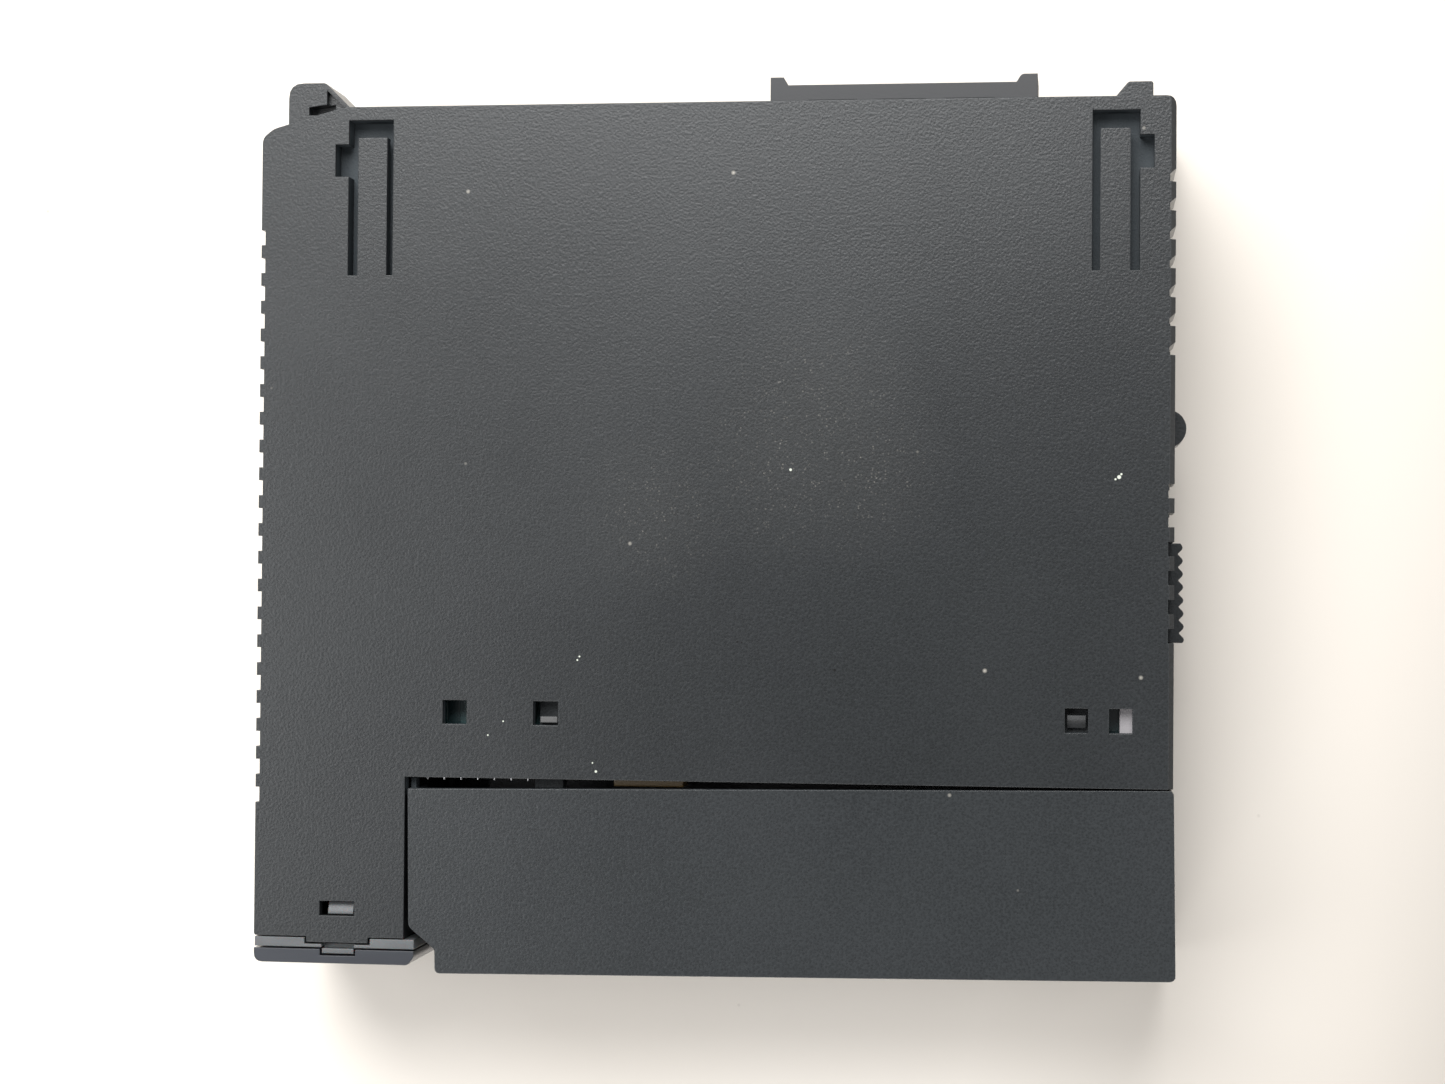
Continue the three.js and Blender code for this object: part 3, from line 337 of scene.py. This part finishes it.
def plain_plastic(name, base, rough=0.45, variation=0.25, grain=0.00002, **extra):
    """Smooth moulding: faint flow marks, uneven gloss and a fine bump of the given grain depth."""
    s = Shader(name, **extra)
    flow = s.noise(70.0, 3.0, stretch=(1.0, 3.0, 1.0))
    fine = s.noise(2400.0, 3.0)
    soft, edge = s.rounded(EDGE_RADIUS)
    pale = rgb(*(channel * 0.8 + 0.02 for channel in base))
    colour = s.mix(s.remap(flow, 0.3, 0.7), toned(base, 1 - variation), toned(base, 1 + variation))
    uneven = s.math("ADD", flow, s.math("MULTIPLY", fine, 0.1))
    return s.set(
        Base_Color=s.mix(s.math("MULTIPLY", edge, 0.6), colour, pale),
        Roughness=s.remap(uneven, 0.3, 0.8, rough - 0.05, rough + 0.08),
        Normal=s.bump(fine, grain, 0.6, soft),
    )


MASK_DARK = rgb(0.014, 0.040, 0.044)
MASK_LIGHT = rgb(0.022, 0.056, 0.062)
MASK_OVER_TRACK = rgb(0.03, 0.085, 0.09)
TRACKS_PER_M = 90.0
TRACK_HEIGHT = 0.00003


def circuit_board_material():
    """Dark teal solder mask over copper tracks, which show as raised paler lines."""
    s = Shader("circuit_board", IOR=1.5, Coat_Weight=0.3)
    wave = s.node(
        "ShaderNodeTexWave", {"wave_type": "BANDS", "bands_direction": "X", "wave_profile": "SIN"},
        Vector=s.place, Scale=TRACKS_PER_M, Distortion=3.0, Detail=1.0,
    )
    track = s.remap(wave.outputs["Fac"], 0.62, 0.70)
    colour = s.mix(track, s.mix(s.noise(300.0), MASK_DARK, MASK_LIGHT), MASK_OVER_TRACK)
    rough = s.remap(track, 0.0, 1.0, 0.32, 0.42)
    return s.set(Base_Color=colour, Roughness=rough, Normal=s.bump(track, TRACK_HEIGHT))


def metal(name, base, rough, streak=(1.0, 1.0, 12.0)):
    """Plated metal with fine drawn streaks and dull patches."""
    s = Shader(name, Metallic=1.0)
    lines = s.noise(1800.0, 3.0, stretch=streak)
    patch = s.noise(240.0, 2.0)
    return s.set(
        Base_Color=s.mix(patch, toned(base, 0.75), rgb(*base)),
        Roughness=s.remap(s.math("ADD", lines, patch), 0.6, 1.4, rough - 0.08, rough + 0.15),
        Normal=s.bump(lines, 0.00001, 0.5),
    )


# spacing of the ruled lines in millimetres, and half a line's width as a share of it
RULE_PITCH = 4.55
RULE_HALF = 0.03
RULE_COLOUR = rgb(0.2, 0.21, 0.22)
CARD_DARK = rgb(0.62, 0.61, 0.56)
CARD_LIGHT = rgb(0.74, 0.73, 0.68)


def label_paper():
    """Off-white card with fibres and faint ruled rows, one for each terminal."""
    s = Shader("label_paper", Roughness=0.85)
    across = s.node("ShaderNodeSeparateXYZ", Vector=s.place).outputs["X"]
    step = s.math("FRACT", s.math("MULTIPLY", across, 1 / (RULE_PITCH * MM)))
    rule = s.math("LESS_THAN", s.math("ABSOLUTE", s.math("SUBTRACT", step, 0.5)), RULE_HALF)
    fibre = s.noise(1500.0, 4.0, stretch=(1.0, 1.0, 5.0))
    colour = s.mix(rule, s.mix(fibre, CARD_DARK, CARD_LIGHT), RULE_COLOUR)
    return s.set(Base_Color=colour, Normal=s.bump(fibre, 0.00003, 0.5))


MATERIALS = {
    "shell": case_plastic("case_plastic", 0.84, marked=True),
    "terminal": case_plastic("terminal_plastic", 1.08, marked=True),
    "case": case_plastic("inner_plastic"),
    "carrier": case_plastic("carrier_plastic", snap_highlight=True),
    "lever": plain_plastic("lever_plastic", (0.034, 0.037, 0.039)),
    "lens": plain_plastic(
        "smoked_lens", (0.020, 0.023, 0.030), rough=0.36, variation=0.15, grain=0.0000015,
        Coat_Weight=0.4,
    ),
    "guide": plain_plastic(
        "light_guide", (0.085, 0.09, 0.094), rough=0.4, variation=0.2,
        Subsurface_Weight=0.2, Subsurface_Scale=0.002,
    ),
    "pale": plain_plastic("pale_plastic", (0.30, 0.285, 0.295), rough=0.5, variation=0.08),
    "amber": plain_plastic(
        "amber_plastic", (0.13, 0.085, 0.03), rough=0.35, variation=0.2, Coat_Weight=0.2,
    ),
    "connector": plain_plastic("connector_plastic", (0.026, 0.027, 0.029), rough=0.5),
    "board": circuit_board_material(),
    "epoxy": plain_plastic("chip_epoxy", (0.014, 0.014, 0.015), rough=0.55),
    "relay": plain_plastic("relay_case", (0.62, 0.62, 0.58), rough=0.35, variation=0.06),
    "can": metal("capacitor_can", (0.62, 0.62, 0.64), 0.28, streak=(12.0, 12.0, 1.0)),
    "steel": metal("plated_steel", (0.56, 0.56, 0.57), 0.3),
    "gold": metal("gold_contact", (0.78, 0.55, 0.20), 0.25),
    "brass": metal("brass_clamp", (0.62, 0.47, 0.22), 0.32),
    "led": plain_plastic(
        "led_dome", (0.55, 0.62, 0.50), rough=0.15, variation=0.1, Transmission_Weight=0.4,
    ),
    "paper": label_paper(),
}

# node name start: (material, width of its rounded edges in mm; 0 leaves rounding to the material)
DRESS = {
    "housing_shell": ("shell", 0),
    "front_carrier": ("carrier", 0),
    "terminal_board": ("terminal", 0),
    "terminal_door": ("terminal", 0),
    "release_lever": ("case", 0),
    "jacking_lever": ("lever", 0.15),
    "lens_cap": ("lens", 0),
    "light_guide": ("guide", 0),
    "board_retainer": ("pale", 0.15),
    "coding_key": ("amber", 0.15),
    "backplane_connector": ("connector", 0),
    "contact_insert": ("connector", 0.1),
    "field_header": ("connector", 0),
    "main_circuit_board": ("board", 0),
    "led_board": ("board", 0.08),
    "controller_chip": ("epoxy", 0.15),
    "interface_chip": ("epoxy", 0.15),
    "relay_": ("relay", 0.5),
    "capacitor_": ("can", 0.5),
    "release_lever_pin": ("steel", 0.15),
    "release_lever_spring": ("steel", 0),
    "jacking_lever_pin": ("steel", 0.15),
    "terminal_screw_": ("steel", 0.12),
    "door_label": ("paper", 0),
}
SHARP_ANGLE = math.radians(28)
FLAT_ANGLE = math.radians(0.5)
WELD_DISTANCE = 2e-6
BEVEL_SEGMENTS = 2


def dress(node, material, width):
    """Material and clean shading for a CAD node, with modelled edge rounding on the simple ones."""
    mesh = node.data
    mesh.materials.clear()
    mesh.materials.append(MATERIALS[material])
    for polygon in mesh.polygons:
        polygon.material_index = 0
        polygon.use_smooth = True
    weld = node.modifiers.new("weld", "WELD")
    weld.merge_threshold = WELD_DISTANCE
    if not width:
        split = node.modifiers.new("split", "EDGE_SPLIT")
        split.split_angle = SHARP_ANGLE
        return
    flat = node.modifiers.new("flat", "DECIMATE")
    flat.decimate_type = "DISSOLVE"
    flat.angle_limit = FLAT_ANGLE
    bevel = node.modifiers.new("bevel", "BEVEL")
    bevel.limit_method = "ANGLE"
    bevel.angle_limit = SHARP_ANGLE
    bevel.width = width * MM
    bevel.segments = BEVEL_SEGMENTS
    node.modifiers.new("smooth", "WEIGHTED_NORMAL")


def dress_cad_nodes():
    """Dress every node by the longest listed start of its name."""
    starts = sorted(DRESS, key=len, reverse=True)
    for name, node in NODES.items():
        dress(node, *DRESS[next(start for start in starts if name.startswith(start))])


# ---------------------------------------------------------------- fine pieces

def mesh_piece(name, build, material, body, place=None, bevel=0.0):
    """A new piece from a bmesh-building function, set at a place and riding on a body."""
    work = bmesh.new()
    build(work)
    bmesh.ops.recalc_face_normals(work, faces=work.faces)
    mesh = bpy.data.meshes.new(name)
    work.to_mesh(mesh)
    work.free()
    mesh.materials.append(MATERIALS[material])
    piece = bpy.data.objects.new(name, mesh)
    bpy.context.scene.collection.objects.link(piece)
    if place:
        piece.matrix_world = place
    if bevel:
        rounding = piece.modifiers.new("bevel", "BEVEL")
        rounding.width = bevel * MM
        rounding.segments = BEVEL_SEGMENTS
        rounding.limit_method = "ANGLE"
    bpy.context.view_layer.update()
    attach(piece, body)
    return piece


def shift_mm(x, y, z):
    """A move by the given millimetres."""
    return Matrix.Translation((x * MM, y * MM, z * MM))


def add_box(work, low, high):
    """An axis-aligned box between two corners, in millimetres."""
    centre = [(a + b) / 2 * MM for a, b in zip(low, high)]
    size = [(b - a) * MM for a, b in zip(low, high)]
    place = Matrix.Translation(centre) @ Matrix.Diagonal((*size, 1.0))
    bmesh.ops.create_cube(work, size=1.0, matrix=place)


# corners of a strip's section, as shares of its width and of its thickness
STRIP_CORNERS = ((-0.5, 0), (0.5, 0), (0.5, 1), (-0.5, 1))


def add_path_strip(work, path, wide):
    """A strip swept along a path of (point, thickness vector) pairs, wide along a vector, in mm."""
    rings = []
    for point, thick in path:
        corners = []
        for side, layer in STRIP_CORNERS:
            corners.append(work.verts.new([
                (p + side * w + layer * t) * MM for p, w, t in zip(point, wide, thick)
            ]))
        rings.append(corners)
    for first, second in zip(rings, rings[1:]):
        for k in range(len(STRIP_CORNERS)):
            n = (k + 1) % len(STRIP_CORNERS)
            work.faces.new((first[k], first[n], second[n], second[k]))
    work.faces.new(rings[0])
    work.faces.new(list(reversed(rings[-1])))


def box_mm(name):
    """Low and high corners of a CAD node, in millimetres."""
    low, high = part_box(name)
    return [value / MM for value in low], [value / MM for value in high]


# legs of a chip that hangs under the board: each bend's reach out of the chip, in millimetres
LEG_ROOT = -0.2
LEG_SHOULDER = 0.35
LEG_KNEE = 0.6
LEG_REACH = 1.1
LEG_THICK = 0.15
LEG_SOLDER = 0.02
CHIP_END = 1.0
ALL_SIDES = ((1, 0), (-1, 0), (0, 1), (0, -1))
TWO_SIDES = ((1, 0), (-1, 0))


def chip_legs(node, sides, pitch, width):
    """Gull-wing legs along some sides of a flat chip; a side is an outward (x, y) direction."""
    low, high = box_mm(node)
    foot = high[2] - LEG_THICK - LEG_SOLDER
    middle = (low[2] + high[2]) / 2
    bends = ((LEG_ROOT, middle), (LEG_SHOULDER, middle), (LEG_KNEE, foot), (LEG_REACH, foot))

    def build(work):
        for out_x, out_y in sides:
            along = 1 if out_x else 0
            count = int((high[along] - low[along] - CHIP_END) / pitch)
            first = (low[along] + high[along] - (count - 1) * pitch) / 2
            edge = (high if out_x + out_y > 0 else low)[1 - along]
            for k in range(count):
                def at(reach, z):
                    place = [0.0, 0.0, z]
                    place[along] = first + k * pitch
                    place[1 - along] = edge + reach * (out_x + out_y)
                    return place
                wide = [0.0, 0.0, 0.0]
                wide[along] = width
                up = (0.0, 0.0, LEG_THICK)
                add_path_strip(work, [(at(reach, z), up) for reach, z in bends], wide)
    mesh_piece(node + "_legs", build, "steel", CASE)


HEADER_ROWS_Y = (-19.0, -16.0)
HEADER_PITCH = 2.54
HEADER_START = 1.2
RELAY_PINS = ((1.5, 2.5), (10.5, 2.5), (1.5, 21.5), (10.5, 21.5), (6.0, 12.0))
CAPACITOR_HALF_PITCH = 1.9
PLUG_PINS_EACH_ROW = 14
PLUG_PIN_INSET = 1.5
PLUG_ROW_PITCH = 2.0
JOINT_RADIUS = 0.75
JOINT_TIP = 0.25
JOINT_HEIGHT = 0.6
JOINT_SUNK = 0.02
JOINT_CORNERS = 10


def joint_places():
    """Where pins are soldered through the board: header, relays, backplane plug and capacitors."""
    low, high = box_mm("field_header")
    places = [
        (low[0] + HEADER_START + k * HEADER_PITCH, y)
        for y in HEADER_ROWS_Y for k in range(int((high[0] - low[0] - 2) / HEADER_PITCH))
    ]
    for name in sorted(NODES):
        if name.startswith("relay_"):
            low, high = box_mm(name)
            places += [(low[0] + x, low[1] + y) for x, y in RELAY_PINS]
        if name.startswith("capacitor_"):
            low, high = box_mm(name)
            middle = ((low[0] + high[0]) / 2, (low[1] + high[1]) / 2)
            places += [(middle[0] + side * CAPACITOR_HALF_PITCH, middle[1]) for side in (-1, 1)]
    low = box_mm("backplane_connector")[0]
    places += [
        (low[0] + PLUG_PIN_INSET + k * HEADER_PITCH, low[1] + PLUG_PIN_INSET + row * PLUG_ROW_PITCH)
        for row in (0, 1) for k in range(PLUG_PINS_EACH_ROW)
    ]
    return places


def solder_joints():
    """Shiny cones on the upper side of the main circuit board."""
    middle = box_mm("main_circuit_board")[1][2] + JOINT_HEIGHT / 2 - JOINT_SUNK

    def build(work):
        for x, y in joint_places():
            bmesh.ops.create_cone(
                work, cap_ends=True, segments=JOINT_CORNERS, radius1=JOINT_RADIUS * MM,
                radius2=JOINT_TIP * MM, depth=JOINT_HEIGHT * MM, matrix=shift_mm(x, y, middle),
            )
    mesh_piece("solder_joints", build, "steel", CASE)


# pins on the carrier's front, behind its rib
CARRIER_RIB = 1.7
PIN_PITCH = 2.45
PIN_START = 0.6
PIN_COUNT = 7
PIN_HEIGHT = 30.0
PIN_RADIUS = 0.22
PIN_TAPER = 0.7
PIN_REACH = 0.95
PIN_SUNK = 0.1
PIN_CORNERS = 12


def carrier_pins():
    """Short round pins that stand forward from the carrier at the top end of the gap."""
    low = box_mm("front_carrier")[0]
    middle = low[1] + CARRIER_RIB - PIN_REACH / 2 + PIN_SUNK
    turn = Matrix.Rotation(math.radians(90), 4, "X")

    def build(work):
        for k in range(PIN_COUNT):
            place = shift_mm(low[0] + PIN_START + k * PIN_PITCH, middle, PIN_HEIGHT)
            bmesh.ops.create_cone(
                work, cap_ends=True, segments=PIN_CORNERS, radius1=PIN_RADIUS * MM,
                radius2=PIN_RADIUS * PIN_TAPER * MM, depth=PIN_REACH * MM, matrix=place @ turn,
            )
    mesh_piece("carrier_pins", build, "steel", CASE)


LED_COLUMNS = 2
LED_COLUMN_PITCH = 6.0
LED_ROWS = 8
LED_ROW_INSET = 2.6
LED_RADIUS = 0.85
LED_STRETCH = 1.6
LED_SUNK = 0.05
LED_BASE_HALF = 1.1
LED_BASE_REACH = 0.4
# above the number of corners in the lamps' mesh
RANK_BASE = 10000


def corner_rank(face):
    """A number from a face's three lowest corner numbers, different for every face."""
    first, second, third = sorted(vert.index for vert in face.verts)[:3]
    return (first * RANK_BASE + second) * RANK_BASE + third


def led_domes():
    """Two columns of domed lamps on square bases, on the front of the indicator board."""
    low, high = box_mm("led_board")
    centre_x = (low[0] + high[0]) / 2
    rows_span = high[2] - low[2] - 2 * LED_ROW_INSET
    back = low[1] + LED_SUNK
    front = low[1] - LED_BASE_REACH

    def build(work):
        for column in range(LED_COLUMNS):
            for row in range(LED_ROWS):
                x = centre_x + (column - (LED_COLUMNS - 1) / 2) * LED_COLUMN_PITCH
                z = low[2] + LED_ROW_INSET + row * rows_span / (LED_ROWS - 1)
                bmesh.ops.create_uvsphere(
                    work, u_segments=12, v_segments=8, radius=LED_RADIUS * MM,
                    matrix=shift_mm(x, back, z) @ Matrix.Diagonal((1.0, LED_STRETCH, 1.0, 1.0)),
                )
                add_box(
                    work, (x - LED_BASE_HALF, front, z - LED_BASE_HALF),
                    (x + LED_BASE_HALF, back, z + LED_BASE_HALF),
                )
        # Blender makes a sphere's faces in an order that changes from run to run
        work.verts.index_update()
        work.faces.sort(key=corner_rank)
    mesh_piece("led_domes", build, "led", CASE)


CONTACT_PITCH = 1.27
CONTACT_WIDTH = 0.7
CONTACT_THICK = 0.16
CONTACT_MARGIN = 2.0
CONTACT_INSET = 0.4
CONTACT_BEND = 1.0
CONTACT_SUNK = 0.02
CONTACT_TIP_SUNK = 0.12


def plug_contacts():
    """Gold strips on both faces of the backplane connector's tongue, each with a bent tip."""
    low, high = box_mm("contact_insert")
    count = int((high[0] - low[0] - CONTACT_MARGIN) / CONTACT_PITCH)
    first = (low[0] + high[0] - (count - 1) * CONTACT_PITCH) / 2
    bends = (
        (low[1] + CONTACT_INSET, CONTACT_SUNK),
        (high[1] - CONTACT_BEND, CONTACT_SUNK),
        (high[1] - CONTACT_INSET, CONTACT_TIP_SUNK),
    )

    def build(work):
        for face, step in ((high[2], 1.0), (low[2], -1.0)):
            thick = (0.0, 0.0, step * CONTACT_THICK)
            for k in range(count):
                x = first + k * CONTACT_PITCH
                path = [((x, y, face - sunk * step), thick) for y, sunk in bends]
                add_path_strip(work, path, (CONTACT_WIDTH, 0.0, 0.0))
    mesh_piece("plug_contacts", build, "gold", CASE)


BOARD_TILT = math.radians(0.8)
SCREW_HEAD = 1.5
CLAMP_GAP = 0.1
CLAMP_SIZE = 6.2
CLAMP_HOLE = 1.9
CLAMP_THICK = 0.9
CLAMP_SIDE_HALF = 0.2
CLAMP_SIDE_DEPTH = 0.3
CLAMP_CORNERS = 16
CLAMP_BEVEL = 0.1


def add_clamp(work):
    """A square plate with a round hole along Y and turned-down sides, its front at the origin."""
    half = CLAMP_SIZE / 2
    rings = []
    for y in (0.0, CLAMP_THICK):
        outer, inner = [], []
        for k in range(CLAMP_CORNERS):
            angle = math.tau * k / CLAMP_CORNERS
            way = Vector((math.cos(angle), 0.0, math.sin(angle)))
            square = half / max(abs(way.x), abs(way.z))
            for ring, reach in ((outer, square), (inner, CLAMP_HOLE)):
                ring.append(work.verts.new((way * reach + Vector((0.0, y, 0.0))) * MM))
        rings.append((outer, inner))
    (front_out, front_in), (back_out, back_in) = rings
    for k in range(CLAMP_CORNERS):
        n = (k + 1) % CLAMP_CORNERS
        work.faces.new((front_out[k], front_out[n], front_in[n], front_in[k]))
        work.faces.new((back_out[k], back_in[k], back_in[n], back_out[n]))
        work.faces.new((front_out[k], back_out[k], back_out[n], front_out[n]))
        work.faces.new((front_in[k], front_in[n], back_in[n], back_in[k]))
    for edge in (-half, half):
        add_box(
            work, (edge - CLAMP_SIDE_HALF, CLAMP_THICK, -half),
            (edge + CLAMP_SIDE_HALF, CLAMP_THICK + CLAMP_SIDE_DEPTH, half),
        )


def terminal_clamps():
    """A pressure plate under every terminal screw head."""
    turn = Matrix.Rotation(BOARD_TILT, 4, "Z")
    names = sorted(name for name in NODES if name.startswith("terminal_screw_"))
    for number, name in enumerate(names, 1):
        low, high = box_mm(name)
        front = low[1] + SCREW_HEAD + CLAMP_GAP
        spot = Vector(((low[0] + high[0]) / 2, front, (low[2] + high[2]) / 2)) * MM
        place = Matrix.Translation(spot) @ turn
        mesh_piece(f"terminal_clamp_{number:02d}", add_clamp, "brass", BOARD, place, CLAMP_BEVEL)


# ---------------------------------------------------------------- stage, light and camera

FLOOR_SIZE = 6.0
FLOOR_GAP = 0.0002
FLOOR_WARM = rgb(0.75, 0.70, 0.635)
FLOOR_PALE = rgb(0.79, 0.745, 0.685)
# painted shade where the light falls off
FLOOR_FALLOFF_SHADE = rgb(0.42, 0.39, 0.353)
# painted shade of the light's falloff: the floor darkens over this stretch in metres, along X and a
# little along -Y
FLOOR_FALL = (0.055, 0.125)
FLOOR_SLANT = 0.25
SPECK_CELLS = 90.0
SPECK_RADIUS = 0.05
SPECK_SHARE = 0.03
SPECK_COLOUR = rgb(0.25, 0.22, 0.19)


def floor_material():
    """Pale paper with broad warm patches, a side darkened with painted shade, fibres and a few dark
    specks.
    """
    s = Shader("floor_paper", Roughness=0.8)
    paper = s.mix(s.remap(s.noise(6.0, 3.0), 0.35, 0.65), FLOOR_WARM, FLOOR_PALE)
    part = s.node("ShaderNodeSeparateXYZ", Vector=s.place).outputs
    slant = s.math("SUBTRACT", part["X"], s.math("MULTIPLY", part["Y"], FLOOR_SLANT))
    # painted shade: the floor darkens away from the light along the slant
    paper = s.mix(s.remap(slant, *FLOOR_FALL), paper, FLOOR_FALLOFF_SHADE)
    pick = s.node("ShaderNodeSeparateColor", Color=s.cells(SPECK_CELLS, "Color"))
    chosen = s.math("GREATER_THAN", pick.outputs["Red"], 1 - SPECK_SHARE)
    dot = s.remap(s.cells(SPECK_CELLS), 0.0, SPECK_RADIUS, 1.0, 0.0)
    return s.set(
        Base_Color=s.mix(s.math("MULTIPLY", dot, chosen), paper, SPECK_COLOUR),
        Normal=s.bump(s.noise(240.0, 4.0), 0.0001, 0.3),
    )


def make_floor():
    """A large square just under the object."""
    mesh = bpy.data.meshes.new("floor")
    half = FLOOR_SIZE / 2
    corners = [(-half, -half, 0), (half, -half, 0), (half, half, 0), (-half, half, 0)]
    mesh.from_pydata(corners, [], [(0, 1, 2, 3)])
    floor = bpy.data.objects.new("floor", mesh)
    floor.location.z = -FLOOR_GAP
    mesh.materials.append(floor_material())
    bpy.context.scene.collection.objects.link(floor)


WHITE = (1.0, 1.0, 1.0)
WARM = (1.0, 0.98, 0.96)
SKY = (0.97, 0.98, 1.0, 1.0)
SKY_STRENGTH = 0.355
# name, place, target, diameter in metres, power in watts and colour
LIGHTS = (
    ("window", (-0.13, 0.61, 0.78), (-0.02, 0.02, 0), 0.84, 16.3, WHITE),
    ("left_glow", (-0.55, -0.05, 0.78), (-0.02, 0, 0), 0.5, 2.5, WHITE),
    ("right_fill", (0.80, 0.10, 0.50), (0, 0, 0), 0.9, 2.8, WARM),
    ("front_fill", (-0.1, -0.95, 0.45), (0, 0, 0), 0.9, 6.5, WARM),
)


def area_light(name, place, target, size, power, colour):
    """A round area light that faces its target."""
    data = bpy.data.lights.new(name, "AREA")
    data.shape = "DISK"
    data.size = size
    data.energy = power
    data.color = colour
    light = bpy.data.objects.new(name, data)
    light.location = place
    light.rotation_euler = (Vector(target) - Vector(place)).to_track_quat("-Z", "Y").to_euler()
    bpy.context.scene.collection.objects.link(light)


def make_lights():
    """The listed lights and an even pale sky."""
    for light in LIGHTS:
        area_light(*light)
    world = bpy.data.worlds.new("studio")
    world.use_nodes = True
    background = world.node_tree.nodes["Background"]
    background.inputs["Color"].default_value = SKY
    background.inputs["Strength"].default_value = SKY_STRENGTH
    bpy.context.scene.world = world


CAMERA_PLACE = Vector((0.05088, -0.01013, 0.41744))
CAMERA_AIM = Vector((0.00126, -0.00319, 0.034))
CAMERA_ROLL = math.radians(0.473)
CAMERA_LENS = 68.54
CAMERA_SENSOR = 36.0
CAMERA_NEAR = 0.01


def make_camera():
    """A camera above the upper side face, with the +Y direction up in its picture."""
    data = bpy.data.cameras.new("camera")
    data.lens = CAMERA_LENS
    data.sensor_width = CAMERA_SENSOR
    data.clip_start = CAMERA_NEAR
    camera = bpy.data.objects.new("camera", data)
    back = (CAMERA_PLACE - CAMERA_AIM).normalized()
    right = Vector((0, 1, 0)).cross(back).normalized()
    turn = Matrix((right, back.cross(right), back)).transposed().to_4x4()
    roll = Matrix.Rotation(CAMERA_ROLL, 4, "Z")
    camera.matrix_world = Matrix.Translation(CAMERA_PLACE) @ turn @ roll
    bpy.context.scene.collection.objects.link(camera)
    bpy.context.scene.camera = camera


make_camera()
dress_cad_nodes()
chip_legs("controller_chip", ALL_SIDES, pitch=0.8, width=0.35)
chip_legs("interface_chip", TWO_SIDES, pitch=1.27, width=0.45)
solder_joints()
carrier_pins()
led_domes()
plug_contacts()
terminal_clamps()
make_floor()
make_lights()
